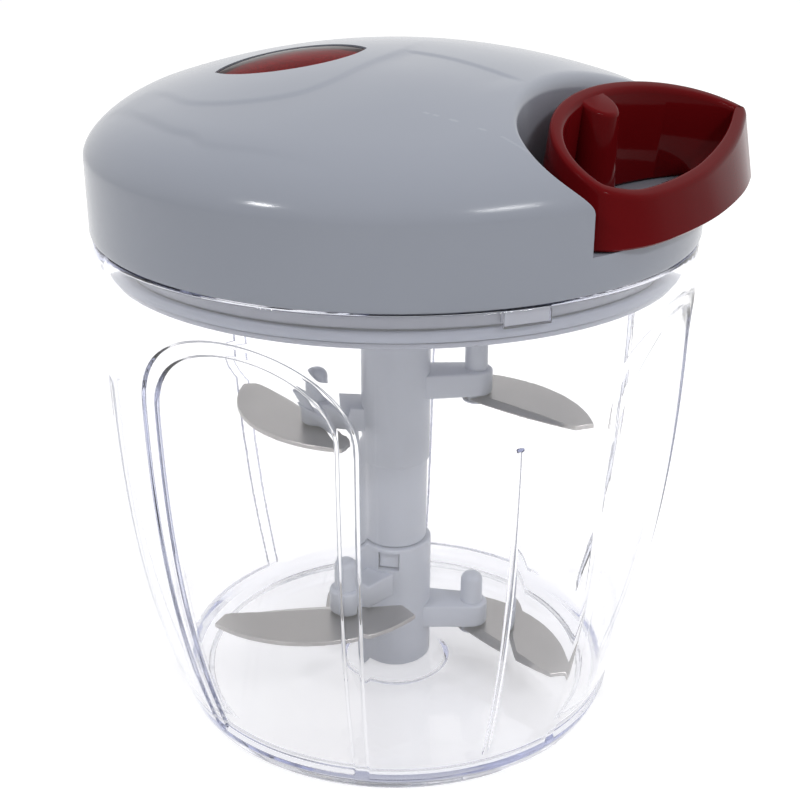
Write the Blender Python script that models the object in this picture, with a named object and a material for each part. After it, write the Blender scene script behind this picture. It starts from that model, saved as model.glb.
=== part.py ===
"""Pull-cord food chopper: clear fluted bowl, domed lid with a cord reel, ring handle, five sickle blades.

Lengths are in metres, +Z is up. The origin is where the bowl's axis meets the surface it stands on, and
+X is the direction in which the handle pulls the cord.
"""

from math import atan2, cos, hypot, pi, radians, sin, sqrt

import bmesh
import bpy
from mathutils import Vector

# Fits
SEAT_GAP = 0.0003
SLIDE_GAP = 0.0005
OVERRUN = 0.004

# Bowl
BOWL_RIM_RADIUS = 0.0646
BOWL_BASE_RADIUS = 0.0500
BOWL_HEIGHT = 0.1129
BOWL_WALL = 0.0024
BOWL_FLOOR = 0.0026
BOWL_CURVE_POWER = 2.8
FOOT_HEIGHT = 0.0012
FOOT_WIDTH = 0.0040
BASE_PAD_RADIUS = 0.0120
BOWL_FLOOR_FILLET = 0.0040
RIM_BEAD = 0.0006
RIM_BEAD_HEIGHT = 0.0030
PETAL_COUNT = 4
PETAL_PHASE = radians(7.0)
PETAL_HALF_ANGLE = radians(22.5)
PETAL_DEPTH = 0.0011
PETAL_STEP = 0.0014
PETAL_BOTTOM = 0.0040
PETAL_ARCH = 0.0190
PETAL_TOP = BOWL_HEIGHT - 0.0079
PETAL_SPRING = PETAL_TOP - PETAL_ARCH
RIB_OFFSET = radians(-42.5)
RIB_HEIGHT = 0.0010
RIB_WIDTH = 0.0016
RIB_TOP = PETAL_SPRING - 0.0010

# Centre pin of the bowl
PIN_RADIUS = 0.0022
PIN_TOP = 0.0250
PIN_ROOT_DEPTH = 0.0010
BOSS_RADIUS = 0.0058
BOSS_HEIGHT = 0.0050

# Lid shell
LID_OVERHANG = 0.0004
LID_RADIUS = BOWL_RIM_RADIUS + LID_OVERHANG
SKIRT_OVER_CORD = 0.0010
LID_SHOULDER_WIDTH = 0.0145
LID_SHOULDER_RISE = 0.0062
LID_DOME_RISE = 0.0140
LID_WALL = 0.0022
LID_SEAT_CLEARANCE = 0.0004

# Pocket for the handle
POCKET_ANGLE = radians(10.46)
POCKET_TURN = radians(-1.1)
POCKET_INSET = 0.0112
POCKET_CENTRE_RADIUS = LID_RADIUS - POCKET_INSET
POCKET_DEPTH = 0.0183
POCKET_HALF_WIDTH = 0.0377
CORD_OVER_POCKET_FLOOR = 0.0075
POCKET_WALL = 0.0020
POCKET_SOFT_EDGE = 0.0032
POCKET_CRISP_EDGE = 0.0005
POCKET_SOFT_SIDE = radians(136.0)

# Handle
HANDLE_INSET = 0.0046
HANDLE_CENTRE_X = LID_RADIUS - HANDLE_INSET
HANDLE_CENTRE_Y = 0.0097
HANDLE_NEAR_TIP = (-0.0036, -0.0322)
HANDLE_OUTER_SIDE = (
    (0.0011, -0.0305),
    (0.0059, -0.0229),
    (0.0075, -0.0127),
    (0.0079, -0.0042),
    (0.0076, 0.0051),
    (0.0057, 0.0186),
    (0.0030, 0.0298),
)
HANDLE_FAR_TIP = (-0.0008, 0.0409)
HANDLE_INNER_DEPTH = 0.0222
HANDLE_INNER_POWER = 2.02
HANDLE_INNER_SKEW = -0.097
HANDLE_TOP_OVER_CORD = 0.00435
HANDLE_TOP_SLOPE = -0.489
HANDLE_TOP_LEAN = 0.045
HANDLE_WALL = 0.0029
HANDLE_FLARE = 0.0022
HANDLE_EDGE = 0.0008
HANDLE_EDGE_DROP = 0.0012
HANDLE_BOSS_RADIUS = 0.0042
HANDLE_BOSS_REACH = 0.0177
HANDLE_BOSS_DROP = 0.0005
KNOT_BORE_RADIUS = 0.0027
KNOT_BORE_ROOF = 0.0030

# Cord
CORD_RADIUS = 0.00075
CORD_HOLE_RADIUS = 0.0013
KNOT_RADIUS = 0.0022
EYELET_TUBE_RADIUS = 0.0024
EYELET_FLANGE_RADIUS = 0.0034
EYELET_FLANGE = 0.0012
EYELET_SEAT_DEPTH = 0.0008

# Bottom cover of the lid
COVER_THICKNESS = 0.0027
PLUG_CLEARANCE = 0.0016
PLUG_OUTER_RADIUS = BOWL_RIM_RADIUS - BOWL_WALL - PLUG_CLEARANCE
PLUG_WALL = 0.0022
PLUG_DEPTH = 0.0081
SEAL_GROOVE_DEPTH = 0.0006
SEAL_HEIGHT = 0.0022
SEAL_LIP = 0.00044
SEAL_OVER_PLUG_EDGE = 0.0011
LUG_HALF_ANGLE = radians(4.0)
LUG_HEIGHT = 0.0040
LUG_REACH = 0.0026
BEARING_WALL = 0.0022
BEARING_DEPTH = 0.0096
BADGE_LENGTH = 0.0305
BADGE_WIDTH = 0.0222
BADGE_X = -0.0149
BADGE_Y = -0.0160
BADGE_ANGLE = radians(40.7)
BADGE_THICKNESS = 0.0012
BADGE_SINK = 0.0002
BADGE_CROWN = 0.0005

# Screws and posts
SCREW_ANGLES = (radians(80.0), radians(150.0), radians(220.0), radians(292.0))
SCREW_INSET = 0.0044
SCREW_CIRCLE = PLUG_OUTER_RADIUS - PLUG_WALL - SCREW_INSET
SCREW_SHANK_RADIUS = 0.0012
SCREW_HEAD_RADIUS = 0.0026
SCREW_HEAD_HEIGHT = 0.0012
SCREW_LENGTH = 0.0110
SCREW_SLOT_WIDTH = 0.0006
SCREW_SLOT_DEPTH = 0.0005
POST_RADIUS = 0.0032

# Drive
SOCKET_RADIUS = 0.0080
SOCKET_STANDOUT = 0.0030
SOCKET_HEX_FLATS = 0.0096
SOCKET_HEX_DEPTH = 0.0095
DRIVE_FLANGE = 0.0015
RATCHET_RADIUS = 0.0160
RATCHET_ROOT_RADIUS = 0.0144
RATCHET_TOOTH = 0.0017
RATCHET_TEETH = 12
RATCHET_HEIGHT = 0.0034
PAWL_COUNT = 2
PAWL_PHASE = radians(27.0)
PAWL_POST_RADIUS = 0.0012
PAWL_POST_CIRCLE = 0.0082
PAWL_THICKNESS = 0.0024
PAWL_REACH = 0.0064
PAWL_EYE_WALL = 0.0012
PAWL_ANGLE = radians(-58.0)

# Reel and spring
AXLE_RADIUS = 0.0020
REEL_FLANGE_RADIUS = 0.0240
REEL_FLANGE = 0.0015
REEL_GAP = 0.0090
REEL_WINDING_LAYER = 0.0018
WASHER_RADIUS = 0.0048
WASHER_THICKNESS = 0.0007
ARBOR_RADIUS = 0.0044
SPRING_WIDTH = 0.0048
SPRING_THICKNESS = 0.0005
SPRING_TURNS = 5
SPRING_OUTER_RADIUS = 0.0198
CUP_WALL = 0.0014
AXLE_BOSS_RADIUS = 0.0052
AXLE_SOCKET_ROOF = 0.0009

# Blade column
LOWER_COLUMN_RADIUS = 0.0084
WAIST_RADIUS = 0.0073
UPPER_COLUMN_RADIUS = 0.0079
LOWER_COLUMN_BOTTOM = 0.0042
LOWER_COLUMN_TOP = 0.0355
WAIST_TOP = 0.0562
COLUMN_UNDER_SOCKET = 0.0012
COLUMN_WALL = 0.0023
SPIGOT_HEIGHT = 0.0058
LATCH_WINDOW_WIDTH = 0.0050
LATCH_WINDOW_HEIGHT = 0.0046
LATCH_ANGLE = radians(-66.0)
LATCH_NOSE = 0.0012
ARM_REACH = 0.0184
ARM_HEIGHT = 0.0058
ARM_ROOT_WIDTH = 0.0094
ARM_TIP_RADIUS = 0.0038
PEG_RADIUS = 0.0026
PEG_HEIGHT = 0.0074
STUD_HALF_WIDTH = 0.0019
RIVET_RADIUS = 0.0031
RIVET_HEIGHT = 0.0008

# Blades: arm angle, height of the arm's middle
BLADE_THICKNESS = 0.0010
BLADE_ARMS = (
    (radians(40.3), 0.0745),
    (radians(206.3), 0.0663),
    (radians(30.3), 0.0157),
    (radians(267.3), 0.0265),
    (radians(144.0), 0.0102),
)
UPPER_BLADE_COUNT = 2
BLADE_TAIL_X = 0.0100
BLADE_TAIL_Y = 0.0136
BLADE_BELLY_X = 0.0334
BLADE_BELLY_Y = 0.0033
BLADE_TIP_X = 0.0432
BLADE_TIP_Y = -0.0215
BLADE_HOLLOW_X = 0.0232
BLADE_HOLLOW_Y = -0.0092
BLADE_TIP_WIDTH = 0.0042
BLADE_TAIL_WIDTH = 0.0048
BLADE_BEVEL = 0.0022

# Facets
ROUND_STEPS = 38
DOME_STEPS = 48
SPRING_STEPS = 12
SMALL_STEPS = 12
POCKET_STEPS = 34
LIP_SHARES = (0.0, 0.4, 1.0)
PATCH_SHARES = (1.0, 0.66, 0.33)
TOOTH_SHARES = (0.0, 0.06, 0.5)
ROD_PHASE = radians(7.0)
PETAL_STEPS_SHARES = (-1.0, -0.93, -0.6, -0.2, 0.2, 0.6, 0.93, 1.0)
PLAIN_STEPS_SHARES = (0.36, 0.7)
OUTER_LEVEL_SHARES = (0.0, 0.07, 0.22, 0.45, 0.73)
INNER_LEVEL_SHARES = (0.07, 0.22, 0.46, 0.75)
FLOOR_FILLET_SHARE = 0.33
PIN_END_SHARES = (0.5, 0.7, 0.17)
PEG_END_SHARES = (1.0, 0.7, 0.3)
RIVET_EDGE_SHARE = 0.8
KNOT_ROUND_SHARE = 0.7
SCREW_EDGE_SHARES = (0.8, 0.33)
SCREW_SLOT_SHARE = 0.6
PAWL_BEAK_SHARES = ((0.9, -0.35), (1.0, 0.2), (0.6, 0.9))
BLADE_TIP_SLANT_SHARE = 0.25
BLADE_TAIL_SLANT_SHARE = 0.3
BLADE_LAND_SHARE = 0.2
BLADE_END_STEPS = 3
SHARP_ANGLE = radians(32.0)
FLAT_LIMIT = radians(0.01)

# Places worked out from the sizes above, from the bottom up
LID_BOTTOM = BOWL_HEIGHT + LID_SEAT_CLEARANCE
COVER_BOTTOM = LID_BOTTOM + SEAT_GAP
COVER_TOP = COVER_BOTTOM + COVER_THICKNESS
COVER_RADIUS = LID_RADIUS - LID_WALL - SLIDE_GAP
PLUG_BOTTOM = COVER_BOTTOM - PLUG_DEPTH
SEAL_GROOVE_BOTTOM = PLUG_BOTTOM + SEAL_OVER_PLUG_EDGE
BEARING_BOTTOM = COVER_BOTTOM - BEARING_DEPTH
SOCKET_BOTTOM = BEARING_BOTTOM - SOCKET_STANDOUT
SOCKET_HEX_TOP = SOCKET_BOTTOM + SOCKET_HEX_DEPTH
UPPER_COLUMN_TOP = SOCKET_BOTTOM - COLUMN_UNDER_SOCKET
BOWL_FLOOR_TOP = FOOT_HEIGHT + BOWL_FLOOR
DRIVE_FLANGE_BOTTOM = COVER_TOP + SLIDE_GAP
RATCHET_FLOOR = DRIVE_FLANGE_BOTTOM + DRIVE_FLANGE
RATCHET_TOP = RATCHET_FLOOR + RATCHET_HEIGHT
WASHER_BOTTOM = RATCHET_FLOOR + SEAT_GAP
REEL_HUB_BOTTOM = WASHER_BOTTOM + WASHER_THICKNESS + SEAT_GAP
REEL_BOTTOM = RATCHET_TOP + SEAT_GAP
CORD_HEIGHT = REEL_BOTTOM + REEL_FLANGE + REEL_GAP / 2
REEL_TOP = CORD_HEIGHT + REEL_GAP / 2 + REEL_FLANGE
WINDING_RADIUS = HANDLE_CENTRE_Y + CORD_RADIUS
DRUM_RADIUS = WINDING_RADIUS - REEL_WINDING_LAYER
SPRING_BOTTOM = REEL_TOP + SLIDE_GAP
SPRING_TOP = SPRING_BOTTOM + SPRING_WIDTH
CUP_ROOF_BOTTOM = SPRING_TOP + SLIDE_GAP
CUP_ROOF_TOP = CUP_ROOF_BOTTOM + CUP_WALL
CUP_INNER_RADIUS = SPRING_OUTER_RADIUS + SLIDE_GAP
LID_SKIRT_TOP = CORD_HEIGHT + SKIRT_OVER_CORD
POCKET_FLOOR = CORD_HEIGHT - CORD_OVER_POCKET_FLOOR
HANDLE_TOP = CORD_HEIGHT + HANDLE_TOP_OVER_CORD
KNOT_X = HANDLE_CENTRE_X - HANDLE_BOSS_REACH


def clear_scene():
    """Remove what a new file starts with."""
    for old in list(bpy.data.objects):
        bpy.data.objects.remove(old)


def make_material(name, colour, roughness, metallic=0.0, alpha=1.0, transmission=0.0):
    """Return a Principled material of the given colour."""
    material = bpy.data.materials.new(name)
    material.use_nodes = True
    shader = material.node_tree.nodes["Principled BSDF"]
    shader.inputs["Base Color"].default_value = (*colour, 1.0)
    shader.inputs["Roughness"].default_value = roughness
    shader.inputs["Metallic"].default_value = metallic
    shader.inputs["Alpha"].default_value = alpha
    shader.inputs["Transmission Weight"].default_value = transmission
    material.diffuse_color = (*colour, alpha)
    return material


def new_object(name, mesh):
    """Link a mesh into the scene as a named object."""
    piece = bpy.data.objects.new(name, mesh)
    bpy.context.scene.collection.objects.link(piece)
    return piece


def solid_from(name, verts, faces):
    """Make an object whose faces point outwards."""
    mesh = bpy.data.meshes.new(name)
    mesh.from_pydata(verts, [], faces)
    grid = bmesh.new()
    grid.from_mesh(mesh)
    bmesh.ops.connect_verts_nonplanar(grid, angle_limit=FLAT_LIMIT, faces=grid.faces)
    bmesh.ops.recalc_face_normals(grid, faces=grid.faces)
    grid.to_mesh(mesh)
    grid.free()
    return new_object(name, mesh)


def round_angles(steps, phase=0.0):
    """Return evenly spaced angles round a circle."""
    return [phase + 2 * pi * k / steps for k in range(steps)]


def turned(name, profile, angles=None, centre=(0.0, 0.0)):
    """Turn a profile of (radius, height) points round a vertical axis.

    The profile is a list, or a function of the angle that returns one. Where it starts and ends on the
    axis the solid has poles there; otherwise its last point joins its first and the solid is a ring.
    """
    angles = angles or round_angles(ROUND_STEPS)
    profile_at = profile if callable(profile) else (lambda angle: profile)
    first = profile_at(angles[0])
    on_axis = first[0][0] == 0 and first[-1][0] == 0
    verts, faces = [], []
    if on_axis:
        verts += [(centre[0], centre[1], first[0][1]), (centre[0], centre[1], first[-1][1])]
    base = len(verts)
    columns = []
    for angle in angles:
        points = profile_at(angle)
        if on_axis:
            points = points[1:-1]
        columns.append(points)
        verts += [
            (centre[0] + r * cos(angle), centre[1] + r * sin(angle), z) for r, z in points
        ]
    rows = len(columns[0])
    for k in range(len(angles)):
        here = base + k * rows
        there = base + (k + 1) % len(angles) * rows
        spans = range(rows - 1) if on_axis else range(rows)
        for j in spans:
            up = (j + 1) % rows
            faces.append((here + j, there + j, there + up, here + up))
        if on_axis:
            faces.append((0, there, here))
            faces.append((1, here + rows - 1, there + rows - 1))
    return solid_from(name, verts, faces)


def lofted(name, rings):
    """Join rings of equal point counts into a capped solid."""
    count = len(rings[0])
    verts = [point for ring in rings for point in ring]
    faces = []
    for level in range(len(rings) - 1):
        low, high = level * count, (level + 1) * count
        for k in range(count):
            along = (k + 1) % count
            faces.append((low + k, low + along, high + along, high + k))
    faces.append(tuple(range(count)))
    faces.append(tuple((len(rings) - 1) * count + k for k in range(count)))
    return solid_from(name, verts, faces)


def prism(name, outline, bottom, top):
    """Extrude a flat outline between two heights."""
    return lofted(name, [[(x, y, bottom) for x, y in outline], [(x, y, top) for x, y in outline]])


def rod(name, start, end, radius, steps=SMALL_STEPS):
    """Make a cylinder between two points."""
    start, end = Vector(start), Vector(end)
    axis = end - start
    turn = axis.to_track_quat("Z", "Y").to_matrix()
    rings = []
    for along in (0.0, axis.length):
        rings.append(
            [
                tuple(start + turn @ Vector((radius * cos(a), radius * sin(a), along)))
                for a in round_angles(steps, ROD_PHASE)
            ]
        )
    return lofted(name, rings)


def combine(target, other, operation, solver="EXACT"):
    """Apply one Boolean to the target and remove the other solid."""
    step = target.modifiers.new(operation.lower(), "BOOLEAN")
    step.operation = operation
    step.solver = solver
    step.object = other
    bpy.context.view_layer.update()
    graph = bpy.context.evaluated_depsgraph_get()
    result = bpy.data.meshes.new_from_object(target.evaluated_get(graph))
    target.modifiers.remove(step)
    target.data = result
    bpy.data.objects.remove(other)
    return target


def add(target, *others):
    """Fuse solids into the target."""
    for other in others:
        combine(target, other, "UNION")
    return target


def cut(target, *others):
    """Cut solids out of the target."""
    for other in others:
        combine(target, other, "DIFFERENCE")
    return target


def finish(piece, name, material):
    """Name a finished piece, give it its material and smooth its round faces."""
    piece.name = name
    piece.data.name = name
    piece.data.materials.clear()
    piece.data.materials.append(material)
    for face in piece.data.polygons:
        face.material_index = 0
    piece.data.shade_smooth()
    piece.data.set_sharp_from_angle(angle=SHARP_ANGLE)
    return piece


def turn_point(x, y, angle, centre=(0.0, 0.0)):
    """Turn a point in plan about the origin and move it to a centre."""
    return (
        centre[0] + x * cos(angle) - y * sin(angle),
        centre[1] + x * sin(angle) + y * cos(angle),
    )


def turn_outline(outline, angle, centre=(0.0, 0.0)):
    """Turn and move every point of a flat outline."""
    return [turn_point(x, y, angle, centre) for x, y in outline]


def arc(centre, radius, start, end, steps):
    """Return points along a circular arc, both ends included."""
    return [
        (
            centre[0] + radius * cos(start + (end - start) * k / steps),
            centre[1] + radius * sin(start + (end - start) * k / steps),
        )
        for k in range(steps + 1)
    ]


def arc_through(first, middle, last, steps):
    """Return points of the arc that passes through three points."""
    (ax, ay), (bx, by), (cx, cy) = first, middle, last
    d = 2 * (ax * (by - cy) + bx * (cy - ay) + cx * (ay - by))
    a2, b2, c2 = ax * ax + ay * ay, bx * bx + by * by, cx * cx + cy * cy
    ux = (a2 * (by - cy) + b2 * (cy - ay) + c2 * (ay - by)) / d
    uy = (a2 * (cx - bx) + b2 * (ax - cx) + c2 * (bx - ax)) / d
    start, end = atan2(ay - uy, ax - ux), atan2(cy - uy, cx - ux)
    if d > 0:
        end = start + (end - start) % (2 * pi)
    else:
        end = start - (start - end) % (2 * pi)
    return arc((ux, uy), hypot(ax - ux, ay - uy), start, end, steps)


def bowl_radius(height):
    """Return the outer radius of the bowl's wall before the petals."""
    share = min(max(height / PETAL_TOP, 0.0), 1.0)
    swell = 1 - (1 - share) ** BOWL_CURVE_POWER
    return BOWL_BASE_RADIUS + (BOWL_RIM_RADIUS - BOWL_BASE_RADIUS) * swell


def petal_offset(angle):
    """Return how far an angle lies from the middle of the nearest petal."""
    pitch = 2 * pi / PETAL_COUNT
    return (angle - PETAL_PHASE + pitch / 2) % pitch - pitch / 2


def petal_arch(offset):
    """Return the height of a petal's arched edge at an angle from its middle."""
    share = min(abs(offset) / PETAL_HALF_ANGLE, 1.0)
    return PETAL_SPRING + (PETAL_TOP - PETAL_SPRING) * sqrt(1 - share * share)


def bowl_angles():
    """Return the bowl's angles: dense at petal edges and at the inner ribs."""
    angles = []
    pitch = 2 * pi / PETAL_COUNT
    rib_half = RIB_WIDTH / 2 / BOWL_RIM_RADIUS
    for k in range(PETAL_COUNT):
        middle = PETAL_PHASE + k * pitch
        rib = middle + pitch + RIB_OFFSET
        edge, following = middle + PETAL_HALF_ANGLE, middle + pitch - PETAL_HALF_ANGLE
        angles += [middle + share * PETAL_HALF_ANGLE for share in PETAL_STEPS_SHARES]
        angles += [edge + (rib - edge) * share for share in PLAIN_STEPS_SHARES]
        angles += [rib - rib_half, rib, rib + rib_half]
        angles += [following - (following - rib) * share for share in reversed(PLAIN_STEPS_SHARES)]
    return angles


def bowl_profile(angle):
    """Return the bowl's section at an angle: up the outside, over the rim, down the inside."""
    offset = petal_offset(angle)
    inside = abs(offset) < PETAL_HALF_ANGLE * PETAL_STEPS_SHARES[-2] * (1 + 1e-6)
    depth = PETAL_DEPTH if inside else 0.0
    arch = petal_arch(offset)
    points = [(0.0, 0.0), (BASE_PAD_RADIUS, 0.0), (BASE_PAD_RADIUS + FOOT_HEIGHT, FOOT_HEIGHT)]
    foot_inner = BOWL_BASE_RADIUS - FOOT_WIDTH
    points += [(foot_inner - FOOT_HEIGHT, FOOT_HEIGHT), (foot_inner, 0.0), (BOWL_BASE_RADIUS, 0.0)]
    low, high = PETAL_BOTTOM, arch - PETAL_STEP
    for share in OUTER_LEVEL_SHARES:
        height = low + (high - low) * share
        sunk = depth if share > 0 else 0.0
        points.append((bowl_radius(height) - sunk, height))
    points.append((bowl_radius(high) - depth, high))
    points.append((bowl_radius(arch), arch))
    bead_bottom = BOWL_HEIGHT - RIM_BEAD_HEIGHT
    points.append((BOWL_RIM_RADIUS, bead_bottom))
    points.append((BOWL_RIM_RADIUS, BOWL_HEIGHT - RIM_BEAD))
    points.append((BOWL_RIM_RADIUS - RIM_BEAD, BOWL_HEIGHT))
    points.append((BOWL_RIM_RADIUS - BOWL_WALL, BOWL_HEIGHT))
    rib = rib_rise(angle)
    points.append((inner_radius(RIB_TOP), RIB_TOP))
    for share in reversed(INNER_LEVEL_SHARES):
        height = BOWL_FLOOR_TOP + (RIB_TOP - BOWL_FLOOR_TOP) * share
        points.append((inner_radius(height) - rib, height))
    corner = BOWL_FLOOR_TOP + BOWL_FLOOR_FILLET
    fillet_middle = inner_radius(corner) - BOWL_FLOOR_FILLET * FLOOR_FILLET_SHARE
    points.append((fillet_middle, (BOWL_FLOOR_TOP + corner) / 2))
    points.append((inner_radius(corner) - BOWL_FLOOR_FILLET, BOWL_FLOOR_TOP))
    points.append((BOSS_RADIUS, BOWL_FLOOR_TOP))
    boss_top = BOWL_FLOOR_TOP + BOSS_HEIGHT
    points.append((BOSS_RADIUS, boss_top))
    hole = PIN_RADIUS + SEAT_GAP
    hole_floor = BOWL_FLOOR_TOP - PIN_ROOT_DEPTH
    points += [(hole, boss_top), (hole, hole_floor), (0.0, hole_floor)]
    return points


def inner_radius(height):
    """Return the radius of the bowl's inner wall."""
    return bowl_radius(height) - BOWL_WALL


def rib_rise(angle):
    """Return how far the inner rib stands out at an angle."""
    pitch = 2 * pi / PETAL_COUNT
    offset = (angle - PETAL_PHASE - RIB_OFFSET + pitch / 2) % pitch - pitch / 2
    half = RIB_WIDTH / 2 / BOWL_RIM_RADIUS
    return RIB_HEIGHT if abs(offset) < half / 2 else 0.0


def lug_angles():
    """Return the angles of the key lugs, in line with the inner ribs."""
    return [PETAL_PHASE + RIB_OFFSET + k * 2 * pi / PETAL_COUNT for k in range(PETAL_COUNT)]


def sector_block(name, inner, outer, middle, half_angle, bottom, top):
    """Make a block that follows a circle between two radii and two angles."""
    steps = 3
    outline = arc((0, 0), outer, middle - half_angle, middle + half_angle, steps)
    outline += arc((0, 0), inner, middle + half_angle, middle - half_angle, steps)
    return prism(name, outline, bottom, top)


def build_bowl(clear, steel):
    """Build the bowl with its key slots, and the pin on which the blades turn."""
    bowl = turned("bowl", bowl_profile, bowl_angles())
    slot_outer = PLUG_OUTER_RADIUS + LUG_REACH + SEAT_GAP
    slot_inner = BOWL_RIM_RADIUS - BOWL_WALL - OVERRUN
    slot_half = LUG_HALF_ANGLE + SEAT_GAP / PLUG_OUTER_RADIUS
    slot_bottom = COVER_BOTTOM - LUG_HEIGHT - SEAT_GAP
    for k, angle in enumerate(lug_angles()):
        cut(
            bowl,
            sector_block(
                f"slot_{k}", slot_inner, slot_outer, angle, slot_half, slot_bottom, BOWL_HEIGHT + OVERRUN
            ),
        )
    finish(bowl, "bowl", clear)
    foot = BOWL_FLOOR_TOP - PIN_ROOT_DEPTH + SEAT_GAP
    pin_profile = [(0.0, foot), (PIN_RADIUS, foot), *rounded_end(PIN_RADIUS, PIN_TOP, PIN_END_SHARES)]
    finish(turned("centre_pin", pin_profile, round_angles(SMALL_STEPS)), "centre_pin", steel)


def rounded_end(radius, top, shares):
    """Return the profile of a rod's rounded end: where it starts, a point on it, and its top."""
    start_share, width_share, drop_share = shares
    shoulder = (radius * width_share, top - radius * drop_share)
    return [(radius, top - radius * start_share), shoulder, (0.0, top)]


def dome_height(radius):
    """Return the height of the lid's outer surface at a radius."""
    flat = LID_RADIUS - LID_SHOULDER_WIDTH
    shoulder = LID_SHOULDER_RISE
    if radius > flat:
        share = min((radius - flat) / LID_SHOULDER_WIDTH, 1.0)
        shoulder *= sqrt(1 - share * share)
    return LID_SKIRT_TOP + shoulder + LID_DOME_RISE * (1 - (radius / LID_RADIUS) ** 2)


def dome_radii(outer, steps_shoulder=5, steps_dome=4):
    """Return the radii at which the dome's profile has points, from the outside in."""
    flat = LID_RADIUS - LID_SHOULDER_WIDTH
    radii = [
        flat + (outer - flat) * cos(pi / 2 * k / steps_shoulder) for k in range(steps_shoulder + 1)
    ]
    return radii + [flat * (steps_dome - k) / steps_dome for k in range(1, steps_dome)]


def pocket_outline(grow, steps=POCKET_STEPS):
    """Return the pocket's oval in plan, grown by a distance."""
    centre = turn_point(POCKET_CENTRE_RADIUS, 0.0, POCKET_ANGLE)
    oval = [
        ((POCKET_DEPTH + grow) * cos(a), (POCKET_HALF_WIDTH + grow) * sin(a))
        for a in round_angles(steps)
    ]
    return turn_outline(oval, POCKET_TURN, centre)


def pocket_cutter():
    """Make the solid that cuts the pocket: upright walls with a rounded lip that follows the dome."""
    wall, far = pocket_outline(0.0), pocket_outline(1.0)
    ceiling = dome_height(0.0) + OVERRUN
    rings = [[(x, y, POCKET_FLOOR) for x, y in wall]]
    for share in LIP_SHARES:
        ring = []
        for k, (x, y) in enumerate(wall):
            around = 2 * pi * k / len(wall)
            softness = (0.5 + 0.5 * cos(around - POCKET_SOFT_SIDE)) ** 2
            size = POCKET_CRISP_EDGE + (POCKET_SOFT_EDGE - POCKET_CRISP_EDGE) * softness
            px = x + (far[k][0] - x) * size * share
            py = y + (far[k][1] - y) * size * share
            reach = min(hypot(px, py), LID_RADIUS)
            ring.append((px, py, dome_height(reach) - size * (1 - share) ** 2))
        rings.append(ring)
    rings.append([(x, y, ceiling) for x, y, z in rings[-1]])
    return lofted("pocket_cutter", rings)


def lens_outline(length, width, steps=10):
    """Return a pointed oval, two arcs that meet at sharp tips."""
    half, bulge = length / 2, width / 2
    radius = (half * half + bulge * bulge) / (2 * bulge)
    sweep = atan2(half, radius - bulge)
    upper = arc((0.0, bulge - radius), radius, pi / 2 - sweep, pi / 2 + sweep, steps)
    lower = arc((0.0, radius - bulge), radius, -pi / 2 - sweep, -pi / 2 + sweep, steps)
    return upper[:-1] + lower[:-1]


def dome_patch(name, outline, top, bottom, crown=0.0):
    """Make a plate that follows the dome, between two offsets from it, over a flat outline."""
    cx = sum(x for x, y in outline) / len(outline)
    cy = sum(y for x, y in outline) / len(outline)
    count = len(outline)
    verts = []
    for offset, rise in ((top, crown), (bottom, 0.0)):
        for share in PATCH_SHARES:
            for x, y in outline:
                px, py = cx + (x - cx) * share, cy + (y - cy) * share
                lift = rise * (1 - share * share)
                verts.append((px, py, dome_height(hypot(px, py)) + offset + lift))
        verts.append((cx, cy, dome_height(hypot(cx, cy)) + offset + rise))
    half = len(verts) // 2
    faces = []
    for start in (0, half):
        for level in range(len(PATCH_SHARES) - 1):
            for k in range(count):
                a, b = start + level * count + k, start + level * count + (k + 1) % count
                faces.append((a, b, b + count, a + count))
        for k in range(count):
            last = start + (len(PATCH_SHARES) - 1) * count
            faces.append((last + k, last + (k + 1) % count, start + half - 1))
    for k in range(count):
        faces.append((k, half + k, half + (k + 1) % count, (k + 1) % count))
    return solid_from(name, verts, faces)


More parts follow.
